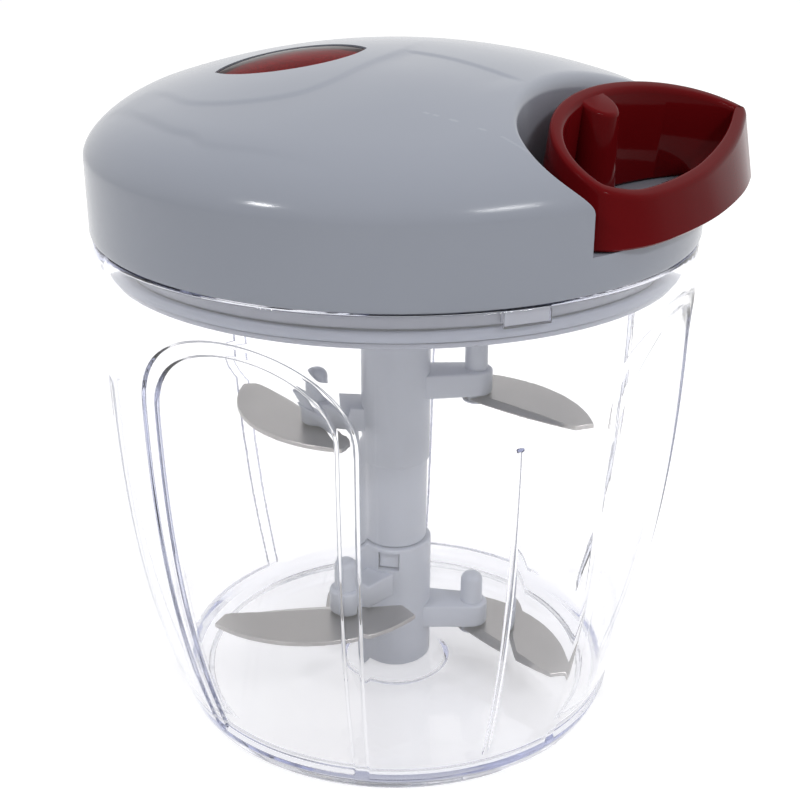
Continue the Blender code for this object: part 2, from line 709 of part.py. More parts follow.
def build_lid_shell(body_plastic, badge_plastic):
    """Build the domed housing with its pocket and posts, and the badge set into it.

    The cavity and the pocket are cut with the solver for closed solids, because the exact one leaves open
    edges along the thin walls between them.
    """
    outer = [(0.0, LID_BOTTOM), (LID_RADIUS, LID_BOTTOM)]
    outer += [(r, dome_height(r)) for r in dome_radii(LID_RADIUS)] + [(0.0, dome_height(0.0))]
    shell = turned("top_housing", outer, round_angles(DOME_STEPS))
    inside_radius = LID_RADIUS - LID_WALL
    inner = [(0.0, LID_BOTTOM - OVERRUN), (inside_radius, LID_BOTTOM - OVERRUN)]
    inner += [
        (r * inside_radius / LID_RADIUS, dome_height(r) - LID_WALL)
        for r in dome_radii(LID_RADIUS, 3, 3)
    ]
    inner.append((0.0, dome_height(0.0) - LID_WALL))
    cavity = turned("cavity", inner)
    pocket_block = prism(
        "pocket_block", pocket_outline(POCKET_WALL), POCKET_FLOOR - POCKET_WALL, dome_height(0.0)
    )
    cut(cavity, pocket_block)
    for k, angle in enumerate(SCREW_ANGLES):
        x, y = turn_point(SCREW_CIRCLE, 0.0, angle)
        cut(cavity, rod(f"post_{k}", (x, y, COVER_TOP + SEAT_GAP), (x, y, dome_height(0.0)), POST_RADIUS))
    cut(
        cavity,
        rod("axle_boss", (0, 0, CUP_ROOF_TOP + SEAT_GAP), (0, 0, dome_height(0.0)), AXLE_BOSS_RADIUS, 24),
    )
    combine(shell, cavity, "DIFFERENCE", "MANIFOLD")
    combine(shell, pocket_cutter(), "DIFFERENCE", "MANIFOLD")
    axle_hole_top = dome_height(0.0) - LID_WALL - AXLE_SOCKET_ROOF + SEAT_GAP
    cut(shell, rod("axle_hole", (0, 0, LID_BOTTOM), (0, 0, axle_hole_top), AXLE_RADIUS + SEAT_GAP, 16))
    for k, angle in enumerate(SCREW_ANGLES):
        x, y = turn_point(SCREW_CIRCLE, 0.0, angle)
        depth = COVER_BOTTOM + SCREW_LENGTH + SLIDE_GAP
        cut(shell, rod(f"pilot_{k}", (x, y, LID_BOTTOM), (x, y, depth), SCREW_SHANK_RADIUS + SEAT_GAP, 8))
    seat_x, back_x = pocket_wall_x()
    reach_x = seat_x + OVERRUN
    cord_line = (HANDLE_CENTRE_Y, CORD_HEIGHT)
    cut(
        shell,
        rod("seat", (seat_x, *cord_line), (reach_x, *cord_line), EYELET_FLANGE_RADIUS + SLIDE_GAP),
        rod("hole", (back_x - OVERRUN, *cord_line), (reach_x, *cord_line), EYELET_TUBE_RADIUS + SEAT_GAP),
    )
    badge_place = (BADGE_X, BADGE_Y)
    badge_plan = turn_outline(lens_outline(BADGE_LENGTH, BADGE_WIDTH), BADGE_ANGLE, badge_place)
    wide = turn_outline(
        lens_outline(BADGE_LENGTH + 4 * SEAT_GAP, BADGE_WIDTH + 2 * SEAT_GAP), BADGE_ANGLE, badge_place
    )
    recess_depth = BADGE_SINK + BADGE_THICKNESS + SEAT_GAP
    cut(shell, dome_patch("badge_recess", wide, OVERRUN, -recess_depth))
    finish(shell, "top_housing", body_plastic)
    badge = dome_patch("badge", badge_plan, -BADGE_SINK, -BADGE_SINK - BADGE_THICKNESS, BADGE_CROWN)
    finish(badge, "badge_insert", badge_plastic)


def pocket_wall_x():
    """Return where the cord's line meets the pocket's inner wall: the flat seat, and the wall's back."""
    centre = turn_point(POCKET_CENTRE_RADIUS, 0.0, POCKET_ANGLE)
    faces = []
    for grow in (0.0, POCKET_WALL):
        best = min(
            (x for x, y in pocket_outline(grow, 720) if abs(y - HANDLE_CENTRE_Y) < SLIDE_GAP),
            default=centre[0] - POCKET_DEPTH,
        )
        faces.append(best)
    return faces[0] - EYELET_SEAT_DEPTH, faces[1]


def build_cover(body_plastic, rubber, steel):
    """Build the lid's bottom cover with plug ring, lugs and bearing, its seal and its screws."""
    groove = PLUG_OUTER_RADIUS - SEAL_GROOVE_DEPTH
    groove_top = SEAL_GROOVE_BOTTOM + SEAL_HEIGHT + 2 * SEAT_GAP
    plug_inner = PLUG_OUTER_RADIUS - PLUG_WALL
    bearing_inner = SOCKET_RADIUS + SEAT_GAP
    bearing_outer = bearing_inner + BEARING_WALL
    section = [
        (bearing_inner, COVER_TOP),
        (bearing_inner, BEARING_BOTTOM),
        (bearing_outer, BEARING_BOTTOM),
        (bearing_outer, COVER_BOTTOM),
        (plug_inner, COVER_BOTTOM),
        (plug_inner, PLUG_BOTTOM),
        (PLUG_OUTER_RADIUS, PLUG_BOTTOM),
        (PLUG_OUTER_RADIUS, SEAL_GROOVE_BOTTOM),
        (groove, SEAL_GROOVE_BOTTOM),
        (groove, groove_top),
        (PLUG_OUTER_RADIUS, groove_top),
        (PLUG_OUTER_RADIUS, COVER_BOTTOM),
        (COVER_RADIUS, COVER_BOTTOM),
        (COVER_RADIUS, COVER_TOP),
    ]
    cover = turned("bottom_cover", section)
    lug_inner = PLUG_OUTER_RADIUS - PLUG_WALL / 2
    lug_outer = PLUG_OUTER_RADIUS + LUG_REACH
    lug_bottom, lug_top = COVER_BOTTOM - LUG_HEIGHT, LID_BOTTOM - SEAT_GAP
    for k, angle in enumerate(lug_angles()):
        add(cover, sector_block(f"lug_{k}", lug_inner, lug_outer, angle, LUG_HALF_ANGLE, lug_bottom, lug_top))
    head_top = COVER_BOTTOM + SCREW_HEAD_HEIGHT + SEAT_GAP
    below, above = COVER_BOTTOM - OVERRUN, COVER_TOP + OVERRUN
    for k, angle in enumerate(SCREW_ANGLES):
        x, y = turn_point(SCREW_CIRCLE, 0.0, angle)
        head = rod(f"head_{k}", (x, y, below), (x, y, head_top), SCREW_HEAD_RADIUS + SEAT_GAP, 10)
        hole = rod(f"hole_{k}", (x, y, below), (x, y, above), SCREW_SHANK_RADIUS + SEAT_GAP, 8)
        cut(cover, head, hole)
    finish(cover, "bottom_cover", body_plastic)
    seal_outer = BOWL_RIM_RADIUS - BOWL_WALL - SLIDE_GAP
    seal_inner = groove + SEAT_GAP
    seal_bottom = SEAL_GROOVE_BOTTOM + SEAT_GAP
    seal_top = seal_bottom + SEAL_HEIGHT
    seal_middle = (seal_bottom + seal_top) / 2
    seal = [
        (seal_inner, seal_top),
        (seal_inner, seal_bottom),
        (seal_outer - SEAL_LIP, seal_bottom),
        (seal_outer, seal_middle),
        (seal_outer - SEAL_LIP, seal_top),
    ]
    finish(turned("seal_ring", seal), "seal_ring", rubber)
    build_screws(steel)


def build_screws(steel):
    """Build the four slotted screws that hold the cover to the housing's posts."""
    head_bottom = COVER_BOTTOM
    head_top = head_bottom + SCREW_HEAD_HEIGHT
    end = COVER_BOTTOM + SCREW_LENGTH
    edge_share, edge_height_share = SCREW_EDGE_SHARES
    profile = [
        (0.0, head_bottom),
        (SCREW_HEAD_RADIUS * edge_share, head_bottom),
        (SCREW_HEAD_RADIUS, head_bottom + SCREW_HEAD_HEIGHT * edge_height_share),
        (SCREW_HEAD_RADIUS, head_top),
        (SCREW_SHANK_RADIUS, head_top),
        (SCREW_SHANK_RADIUS, end - SCREW_SHANK_RADIUS),
        (0.0, end),
    ]
    half, width = SCREW_HEAD_RADIUS * SCREW_SLOT_SHARE, SCREW_SLOT_WIDTH / 2
    slot_plan = [(-half, -width), (half, -width), (half, width), (-half, width)]
    for k, angle in enumerate(SCREW_ANGLES):
        place = turn_point(SCREW_CIRCLE, 0.0, angle)
        screw = turned(f"screw_{k}", profile, round_angles(10), place)
        slot = turn_outline(slot_plan, angle, place)
        cut(screw, prism("slot", slot, head_bottom - OVERRUN, head_bottom + SCREW_SLOT_DEPTH))
        finish(screw, f"housing_screw_{k + 1}", steel)


def hexagon_radius(angle, flats):
    """Return the distance from the axis to a hexagon's side at an angle."""
    sector = pi / 3
    return flats / 2 / cos((angle + sector / 2) % sector - sector / 2)


def build_drive(plastic, steel):
    """Build the ratchet cup with its hexagonal socket, the axle and the washer."""
    pitch = 2 * pi / RATCHET_TEETH
    angles = [pitch * (tooth + share) for tooth in range(RATCHET_TEETH) for share in TOOTH_SHARES]
    axle_hole = AXLE_RADIUS + SEAT_GAP
    web_bottom = SOCKET_HEX_TOP
    hole_floor = web_bottom + DRIVE_FLANGE

    def section(angle):
        along_share = (angle / pitch + TOOTH_SHARES[1] / 2) % 1.0
        climb = 1.0 if along_share < TOOTH_SHARES[1] else along_share
        tooth = RATCHET_ROOT_RADIUS - RATCHET_TOOTH * climb
        hexagon = hexagon_radius(angle, SOCKET_HEX_FLATS)
        return [
            (0.0, web_bottom),
            (hexagon, web_bottom),
            (hexagon, SOCKET_BOTTOM),
            (SOCKET_RADIUS, SOCKET_BOTTOM),
            (SOCKET_RADIUS, DRIVE_FLANGE_BOTTOM),
            (RATCHET_RADIUS, DRIVE_FLANGE_BOTTOM),
            (RATCHET_RADIUS, RATCHET_TOP),
            (tooth, RATCHET_TOP),
            (tooth, RATCHET_FLOOR),
            (axle_hole, RATCHET_FLOOR),
            (axle_hole, hole_floor),
            (0.0, hole_floor),
        ]

    drive = turned("drive_socket", section, angles)
    finish(drive, "drive_socket", plastic)
    axle_top = dome_height(0.0) - LID_WALL - AXLE_SOCKET_ROOF
    axle = rod("reel_axle", (0, 0, hole_floor + SEAT_GAP), (0, 0, axle_top), AXLE_RADIUS)
    finish(axle, "reel_axle", steel)
    washer = [
        (axle_hole, WASHER_BOTTOM + WASHER_THICKNESS),
        (axle_hole, WASHER_BOTTOM),
        (WASHER_RADIUS, WASHER_BOTTOM),
        (WASHER_RADIUS, WASHER_BOTTOM + WASHER_THICKNESS),
    ]
    finish(turned("reel_washer", washer, round_angles(24)), "reel_washer", steel)


def pawl_place(index):
    """Return a pawl's angle on the reel and the point it swings on."""
    angle = PAWL_PHASE + 2 * pi * index / PAWL_COUNT
    return angle, turn_point(PAWL_POST_CIRCLE, 0.0, angle)


def build_reel(plastic, cord, steel):
    """Build the cord reel with its pawl posts, the wound cord, the pawls, the spring and its cup."""
    bore = AXLE_RADIUS + SEAT_GAP
    section = [
        (bore, SPRING_TOP),
        (bore, REEL_HUB_BOTTOM),
        (WASHER_RADIUS, REEL_HUB_BOTTOM),
        (WASHER_RADIUS, REEL_BOTTOM),
        (REEL_FLANGE_RADIUS, REEL_BOTTOM),
        (REEL_FLANGE_RADIUS, REEL_BOTTOM + REEL_FLANGE),
        (DRUM_RADIUS, REEL_BOTTOM + REEL_FLANGE),
        (DRUM_RADIUS, REEL_TOP - REEL_FLANGE),
        (REEL_FLANGE_RADIUS, REEL_TOP - REEL_FLANGE),
        (REEL_FLANGE_RADIUS, REEL_TOP),
        (ARBOR_RADIUS, REEL_TOP),
        (ARBOR_RADIUS, SPRING_TOP),
    ]
    reel = turned("cord_reel", section, round_angles(32))
    post_bottom, post_top = RATCHET_FLOOR + SLIDE_GAP, REEL_BOTTOM + REEL_FLANGE / 2
    for index in range(PAWL_COUNT):
        _, (x, y) = pawl_place(index)
        add(reel, rod(f"pawl_post_{index}", (x, y, post_bottom), (x, y, post_top), PAWL_POST_RADIUS))
    finish(reel, "cord_reel", plastic)
    wind_bottom = REEL_BOTTOM + REEL_FLANGE + SEAT_GAP
    wind_top = REEL_TOP - REEL_FLANGE - SEAT_GAP
    wind = [(DRUM_RADIUS + SEAT_GAP, wind_top), (DRUM_RADIUS + SEAT_GAP, wind_bottom)]
    humps = int((wind_top - wind_bottom) / (4 * CORD_RADIUS))
    pitch = (wind_top - wind_bottom) / humps
    for k in range(humps):
        low = wind_bottom + k * pitch
        wind += [(WINDING_RADIUS - CORD_RADIUS / 2, low), (WINDING_RADIUS, low + pitch / 2)]
    wind.append((WINDING_RADIUS - CORD_RADIUS / 2, wind_top))
    finish(turned("cord_winding", wind, round_angles(24)), "cord_winding", cord)
    build_pawls(steel)
    build_spring(steel, plastic)


def build_pawls(steel):
    """Build the two pawls, an eye round a post with a beak that reaches into the ratchet.

    Each is made about its own swing axis and then placed on its post.
    """
    eye_inner = PAWL_POST_RADIUS + SEAT_GAP
    eye_outer = eye_inner + PAWL_EYE_WALL
    middle = RATCHET_FLOOR + SLIDE_GAP + PAWL_THICKNESS / 2
    for index in range(PAWL_COUNT):
        angle, place = pawl_place(index)
        eye = arc((0.0, 0.0), eye_outer, radians(60.0), radians(300.0), 10)
        beak = [(PAWL_REACH * along, eye_outer * across) for along, across in PAWL_BEAK_SHARES]
        outline = turn_outline(eye + beak, angle + PAWL_ANGLE)
        pawl = prism("pawl", outline, -PAWL_THICKNESS / 2, PAWL_THICKNESS / 2)
        cut(pawl, rod("eye", (0, 0, -PAWL_THICKNESS), (0, 0, PAWL_THICKNESS), eye_inner))
        finish(pawl, f"drive_pawl_{index + 1}", steel)
        pawl.location = (*place, middle)


def spiral_point(share):
    """Return the middle of the spring's strip at a share of its length from the inside."""
    start = ARBOR_RADIUS + SEAT_GAP + SPRING_THICKNESS / 2
    end = SPRING_OUTER_RADIUS - SPRING_THICKNESS / 2
    radius = start + (end - start) * share
    return turn_point(radius, 0.0, 2 * pi * SPRING_TURNS * share)


def build_spring(steel, plastic):
    """Build the flat spiral spring and the cup that holds its outer end."""
    steps = SPRING_TURNS * SPRING_STEPS
    half = SPRING_THICKNESS / 2
    left, right = [], []
    for k in range(steps + 1):
        here = Vector(spiral_point(k / steps))
        ahead = Vector(spiral_point(min(1.0, (k + 1) / steps)))
        behind = Vector(spiral_point(max(0.0, (k - 1) / steps)))
        side = (ahead - behind).normalized().orthogonal() * half
        left.append(tuple(here + side))
        right.append(tuple(here - side))
    verts = []
    for pair in zip(left, right):
        for z in (SPRING_BOTTOM, SPRING_TOP):
            verts += [(*point, z) for point in pair]
    faces = [(0, 1, 3, 2)]
    for k in range(steps):
        a, b = 4 * k, 4 * (k + 1)
        faces += [(a, a + 1, b + 1, b), (a + 2, b + 2, b + 3, a + 3)]
        faces += [(a, b, b + 2, a + 2), (a + 1, a + 3, b + 3, b + 1)]
    last = 4 * steps
    faces.append((last, last + 2, last + 3, last + 1))
    finish(solid_from("spring", verts, faces), "recoil_spring", steel)
    outer = CUP_INNER_RADIUS + CUP_WALL
    cup_bottom = REEL_TOP + SLIDE_GAP
    hole = ARBOR_RADIUS + SLIDE_GAP
    cup = [
        (hole, CUP_ROOF_TOP),
        (hole, CUP_ROOF_BOTTOM),
        (CUP_INNER_RADIUS, CUP_ROOF_BOTTOM),
        (CUP_INNER_RADIUS, cup_bottom),
        (outer, cup_bottom),
        (outer, CUP_ROOF_TOP),
    ]
    finish(turned("spring_cup", cup, round_angles(32)), "spring_cup", plastic)


def smooth_line(points, steps):
    """Return a smooth line through the points, with its ends carried on straight."""
    points = [Vector(point) for point in points]
    line = [2 * points[0] - points[1]] + points + [2 * points[-1] - points[-2]]
    smooth = []
    for before, start, end, after in zip(line, line[1:], line[2:], line[3:]):
        slope_start, slope_end = (end - before) / 2, (after - start) / 2
        for k in range(steps):
            t = k / steps
            here = start * (1 + 2 * t) * (1 - t) ** 2 + end * (3 - 2 * t) * t**2
            here += slope_start * t * (1 - t) ** 2 - slope_end * (1 - t) * t**2
            smooth.append(tuple(here))
    smooth.append(tuple(points[-1]))
    return smooth


def handle_outline(outer_steps=3, inner_steps=24):
    """Return the outline of the handle's foot in its own plan: x along the pull, y along its length.

    The outer side runs through its named points from tip to tip, the inner side bows back from tip to tip.
    """
    near, far = Vector(HANDLE_NEAR_TIP), Vector(HANDLE_FAR_TIP)
    outline = smooth_line((HANDLE_NEAR_TIP, *HANDLE_OUTER_SIDE, HANDLE_FAR_TIP), outer_steps)
    for k in range(1, inner_steps):
        share = k / inner_steps
        bow = sin(pi * (share + HANDLE_INNER_SKEW * share * (1 - share))) ** (2 / HANDLE_INNER_POWER)
        base = far + (near - far) * (0.5 - 0.5 * cos(pi * share))
        outline.append((base.x - HANDLE_INNER_DEPTH * bow, base.y))
    return outline


def soften(outline, rounds):
    """Round off the corners of a closed outline by averaging neighbours."""
    for _ in range(rounds):
        count = len(outline)
        outline = [
            tuple(
                (outline[k - 1][axis] + 2 * outline[k][axis] + outline[(k + 1) % count][axis]) / 4
                for axis in (0, 1)
            )
            for k in range(count)
        ]
    return outline


def inset(outline, distance):
    """Move a closed anticlockwise outline inwards along its normals."""
    moved = []
    count = len(outline)
    for k in range(count):
        before, after = Vector(outline[k - 1]), Vector(outline[(k + 1) % count])
        tangent = (after - before).normalized()
        moved.append((outline[k][0] - tangent.y * distance, outline[k][1] + tangent.x * distance))
    return moved


def handle_top(x, y):
    """Return the height of the handle's top edge at a point of its own plan."""
    return HANDLE_TOP + HANDLE_TOP_SLOPE * x + HANDLE_TOP_LEAN * y


def build_handle(plastic, cord):
    """Build the ring handle with its cord boss, the knot in it and the free stretch of cord."""
    plan = soften(handle_outline(), 1)
    bottom = POCKET_FLOOR + SEAT_GAP
    wall = HANDLE_WALL
    sections = (
        (0.0, "bottom", 0.0),
        (HANDLE_FLARE, "top", HANDLE_EDGE_DROP),
        (HANDLE_FLARE + HANDLE_EDGE, "top", 0.0),
        (HANDLE_FLARE + wall - HANDLE_EDGE, "top", 0.0),
        (HANDLE_FLARE + wall, "top", HANDLE_EDGE_DROP),
        (wall, "bottom", 0.0),
    )
    rows = len(sections)
    verts = []
    rings = []
    for depth, level, drop in sections:
        rings.append([(x, y, level, drop) for x, y in inset(plan, depth)])
    count = len(plan)
    for k in range(count):
        for ring in rings:
            x, y, level, drop = ring[k]
            z = bottom if level == "bottom" else handle_top(x, y) - drop
            verts.append((HANDLE_CENTRE_X + x, HANDLE_CENTRE_Y + y, z))
    faces = []
    for k in range(count):
        here, there = k * rows, (k + 1) % count * rows
        for j in range(rows):
            up = (j + 1) % rows
            faces.append((here + j, there + j, there + up, here + up))
    handle = solid_from("pull_handle", verts, faces)
    boss_top = handle_top(KNOT_X - HANDLE_CENTRE_X, 0.0) - HANDLE_BOSS_DROP
    boss_place = (KNOT_X, HANDLE_CENTRE_Y)
    add(handle, rod("boss", (*boss_place, bottom), (*boss_place, boss_top), HANDLE_BOSS_RADIUS, 24))
    bore_top = boss_top - KNOT_BORE_ROOF
    line = (HANDLE_CENTRE_Y, CORD_HEIGHT)
    cut(
        handle,
        rod("knot_bore", (*boss_place, bottom - OVERRUN), (*boss_place, bore_top), KNOT_BORE_RADIUS),
        rod("cord_hole", (KNOT_X - HANDLE_INNER_DEPTH, *line), (KNOT_X, *line), CORD_HOLE_RADIUS),
    )
    finish(handle, "pull_handle", plastic)
    build_cord(cord)


def build_cord(cord):
    """Build the knot in the handle's boss and the free stretch of cord behind it."""
    shoulder = KNOT_RADIUS * KNOT_ROUND_SHARE
    knot = [
        (0.0, CORD_HEIGHT - KNOT_RADIUS),
        (shoulder, CORD_HEIGHT - shoulder),
        (KNOT_RADIUS, CORD_HEIGHT),
        (shoulder, CORD_HEIGHT + shoulder),
        (0.0, CORD_HEIGHT + KNOT_RADIUS),
    ]
    finish(turned("cord_knot", knot, round_angles(14), (KNOT_X, HANDLE_CENTRE_Y)), "cord_knot", cord)
    inner_reach = HANDLE_CENTRE_Y - CORD_RADIUS
    cord_start = sqrt((WINDING_RADIUS + SEAT_GAP) ** 2 - inner_reach**2) + SEAT_GAP
    cord_end = KNOT_X - KNOT_RADIUS - SEAT_GAP
    line = (HANDLE_CENTRE_Y, CORD_HEIGHT)
    finish(rod("cord", (cord_start, *line), (cord_end, *line), CORD_RADIUS, 10), "pull_cord", cord)


def build_eyelet(plastic):
    """Build the flanged bush in the pocket's wall that the cord runs through."""
    seat_x, back_x = pocket_wall_x()
    line = (HANDLE_CENTRE_Y, CORD_HEIGHT)
    tube_start, tube_end = back_x - SLIDE_GAP, seat_x + SEAT_GAP
    eyelet = rod("eyelet", (tube_start, *line), (tube_end + EYELET_FLANGE, *line), EYELET_TUBE_RADIUS)
    add(eyelet, rod("flange", (tube_end, *line), (tube_end + EYELET_FLANGE, *line), EYELET_FLANGE_RADIUS))
    reach = tube_end + EYELET_FLANGE + OVERRUN
    cut(eyelet, rod("bore", (tube_start - OVERRUN, *line), (reach, *line), CORD_HOLE_RADIUS))
    finish(eyelet, "cord_eyelet", plastic)


def blade_outline():
    """Return a sickle blade in the plan of its arm, tail to tip and back."""
    tail = (BLADE_TAIL_X, BLADE_TAIL_Y)
    tip = (BLADE_TIP_X, BLADE_TIP_Y)
    back = arc_through(tail, (BLADE_BELLY_X, BLADE_BELLY_Y), tip, 12)
    tip_slant, tail_slant = BLADE_TIP_WIDTH * BLADE_TIP_SLANT_SHARE, BLADE_TAIL_WIDTH * BLADE_TAIL_SLANT_SHARE
    tip_inner = (BLADE_TIP_X - BLADE_TIP_WIDTH, BLADE_TIP_Y - tip_slant)
    tail_inner = (BLADE_TAIL_X - tail_slant, BLADE_TAIL_Y - BLADE_TAIL_WIDTH)
    hollow = arc_through(tail_inner, (BLADE_HOLLOW_X, BLADE_HOLLOW_Y), tip_inner, 10)
    return back, list(reversed(hollow))


def build_blades(steel):
    """Build the five blades, each ground to an edge along its hollow side."""
    back, hollow = blade_outline()
    flat = back + hollow
    ground = []
    for k, point in enumerate(flat):
        here = Vector(point)
        if k >= len(back):
            towards = (nearest(back, here) - here).normalized()
            end_share = min(k - len(back), len(flat) - 1 - k) / BLADE_END_STEPS
            here = here + towards * BLADE_BEVEL * min(1.0, end_share)
        ground.append((here.x, here.y))
    land = BLADE_THICKNESS * BLADE_LAND_SHARE
    stud = STUD_HALF_WIDTH + SEAT_GAP
    for index, (angle, height) in enumerate(BLADE_ARMS):
        top = height - ARM_HEIGHT / 2 - SEAT_GAP
        bottom = top - BLADE_THICKNESS
        low = turn_outline(flat, angle)
        high = turn_outline(ground, angle)
        rings = [
            [(x, y, bottom) for x, y in low],
            [(x, y, bottom + land) for x, y in low],
            [(x, y, top) for x, y in high],
        ]
        blade = lofted("blade", rings)
        hole = turn_outline(square(stud, ARM_REACH), angle)
        cut(blade, prism("stud_hole", hole, bottom - OVERRUN, top + OVERRUN))
        finish(blade, f"blade_{index + 1}", steel)


def nearest(points, place):
    """Return the point of a list that lies nearest to a place."""
    return min((Vector(p) for p in points), key=lambda p: (p - place).length)


def square(half, centre_x):
    """Return a square outline about a point on the arm's line."""
    return [
        (centre_x - half, -half),
        (centre_x + half, -half),
        (centre_x + half, half),
        (centre_x - half, half),
    ]


def add_arm(column, angle, height, root):
    """Fuse one arm to a column: the arm, the peg above its end, the stud and rivet below."""
    half = ARM_ROOT_WIDTH / 2
    plan = [(root, -half)]
    plan += arc((ARM_REACH, 0.0), ARM_TIP_RADIUS, -pi / 2, pi / 2, 6)
    plan.append((root, half))
    low, high = height - ARM_HEIGHT / 2, height + ARM_HEIGHT / 2
    add(column, prism("arm", turn_outline(plan, angle), low, high))
    place = turn_point(ARM_REACH, 0.0, angle)
    peg = [(0.0, height), (PEG_RADIUS, height), *rounded_end(PEG_RADIUS, high + PEG_HEIGHT, PEG_END_SHARES)]
    add(column, turned("peg", peg, round_angles(SMALL_STEPS), place))
    blade_bottom = low - SEAT_GAP - BLADE_THICKNESS
    rivet_top = blade_bottom - SEAT_GAP
    stud = turn_outline(square(STUD_HALF_WIDTH, ARM_REACH), angle)
    add(column, prism("stud", stud, rivet_top - RIVET_HEIGHT / 2, height))
    rivet = [
        (0.0, rivet_top - RIVET_HEIGHT),
        (RIVET_RADIUS * RIVET_EDGE_SHARE, rivet_top - RIVET_HEIGHT),
        (RIVET_RADIUS, rivet_top),
        (0.0, rivet_top),
    ]
    add(column, turned("rivet", rivet, round_angles(SMALL_STEPS), place))


def build_column(plastic):
    """Build the two blade carriers, snapped together, with a hexagonal head for the drive."""
    boss_room = BOSS_RADIUS + SLIDE_GAP
    socket_roof = BOWL_FLOOR_TOP + BOSS_HEIGHT + SLIDE_GAP
    pin_bore = PIN_RADIUS + SEAT_GAP
    spigot_radius = WAIST_RADIUS - COLUMN_WALL / 2
    spigot_bottom = LOWER_COLUMN_TOP - SPIGOT_HEIGHT
    cup = spigot_radius + SEAT_GAP
    pin_roof = PIN_TOP + SEAT_GAP
    lower = [
        (0.0, pin_roof),
        (pin_bore, pin_roof),
        (pin_bore, socket_roof),
        (boss_room, socket_roof),
        (boss_room, LOWER_COLUMN_BOTTOM),
        (LOWER_COLUMN_RADIUS - SLIDE_GAP, LOWER_COLUMN_BOTTOM),
        (LOWER_COLUMN_RADIUS, LOWER_COLUMN_BOTTOM + SLIDE_GAP),
        (LOWER_COLUMN_RADIUS, LOWER_COLUMN_TOP),
        (cup, LOWER_COLUMN_TOP),
        (cup, spigot_bottom),
        (0.0, spigot_bottom),
    ]
    carrier = turned("lower_carrier", lower, round_angles(28))
    for angle, height in BLADE_ARMS[UPPER_BLADE_COUNT:]:
        add_arm(carrier, angle, height, boss_room + SLIDE_GAP)
    window_bottom = spigot_bottom + SEAT_GAP
    window_top = window_bottom + LATCH_WINDOW_HEIGHT
    half = LATCH_WINDOW_WIDTH / 2
    reach = LOWER_COLUMN_RADIUS + OVERRUN
    window = turn_outline([(0.0, -half), (reach, -half), (reach, half), (0.0, half)], LATCH_ANGLE)
    cut(carrier, prism("window", window, window_bottom, window_top))
    finish(carrier, "lower_carrier", plastic)

    joint = LOWER_COLUMN_TOP + SEAT_GAP
    spigot_end = spigot_bottom + SEAT_GAP
    head_top = SOCKET_HEX_TOP - SLIDE_GAP
    head_flats = SOCKET_HEX_FLATS - 2 * SEAT_GAP

    def upper(angle):
        hexagon = hexagon_radius(angle, head_flats)
        return [
            (0.0, spigot_end),
            (spigot_radius, spigot_end),
            (spigot_radius, joint),
            (WAIST_RADIUS, joint),
            (WAIST_RADIUS, WAIST_TOP),
            (UPPER_COLUMN_RADIUS, WAIST_TOP),
            (UPPER_COLUMN_RADIUS, UPPER_COLUMN_TOP),
            (hexagon, UPPER_COLUMN_TOP + SLIDE_GAP),
            (hexagon, head_top - SLIDE_GAP),
            (hexagon - SLIDE_GAP, head_top),
            (0.0, head_top),
        ]

    carrier = turned("upper_carrier", upper, round_angles(30))
    for angle, height in BLADE_ARMS[:UPPER_BLADE_COUNT]:
        add_arm(carrier, angle, height, WAIST_RADIUS / 2)
    nose_half = half - SEAT_GAP
    nose_reach = spigot_radius + LATCH_NOSE
    nose = [(0.0, -nose_half), (nose_reach, -nose_half), (nose_reach, nose_half), (0.0, nose_half)]
    nose_plan = turn_outline(nose, LATCH_ANGLE)
    add(carrier, prism("nose", nose_plan, window_bottom + SEAT_GAP, window_top - SEAT_GAP))
    finish(carrier, "upper_carrier", plastic)


def build_model():
    """Build every piece."""
    clear_scene()
    clear = make_material("clear_styrene", (0.90, 0.93, 0.97), 0.05, alpha=0.35, transmission=0.9)
    lid_plastic = make_material("blue_grey_gloss", (0.33, 0.36, 0.42), 0.18)
    column_plastic = make_material("pale_blue_satin", (0.42, 0.46, 0.53), 0.35)
    handle_plastic = make_material("dark_red_gloss", (0.22, 0.005, 0.008), 0.12)
    badge_plastic = make_material("red_clear", (0.25, 0.005, 0.01), 0.06)
    inner_plastic = make_material("natural_acetal", (0.75, 0.75, 0.72), 0.45)
    blade_steel = make_material("blade_steel", (0.42, 0.41, 0.40), 0.28, metallic=1.0)
    bright_steel = make_material("bright_steel", (0.60, 0.60, 0.60), 0.25, metallic=1.0)
    cord = make_material("braided_cord", (0.80, 0.79, 0.75), 0.85)
    rubber = make_material("seal_silicone", (0.62, 0.66, 0.72), 0.6)
    build_bowl(clear, bright_steel)
    build_lid_shell(lid_plastic, badge_plastic)
    build_cover(lid_plastic, rubber, bright_steel)
    build_drive(inner_plastic, bright_steel)
    build_reel(inner_plastic, cord, bright_steel)
    build_handle(handle_plastic, cord)
    build_eyelet(inner_plastic)
    build_column(column_plastic)
    build_blades(blade_steel)


build_model()
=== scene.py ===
"""Looks of a pull-cord food chopper, built in Blender round its CAD frame.

Lengths are in metres. The frame is the part's own: +Z up along the axis of bowl and lid, +X the way the
handle pulls the cord, the origin on the floor under the bowl.
"""

import logging
from collections.abc import Callable, Sequence
from dataclasses import dataclass, field
from enum import Enum
from functools import cache
from math import atan2, cos, hypot, pi, radians, sin, sqrt

import bmesh
import bpy
import numpy as np
from mathutils import Matrix, Vector


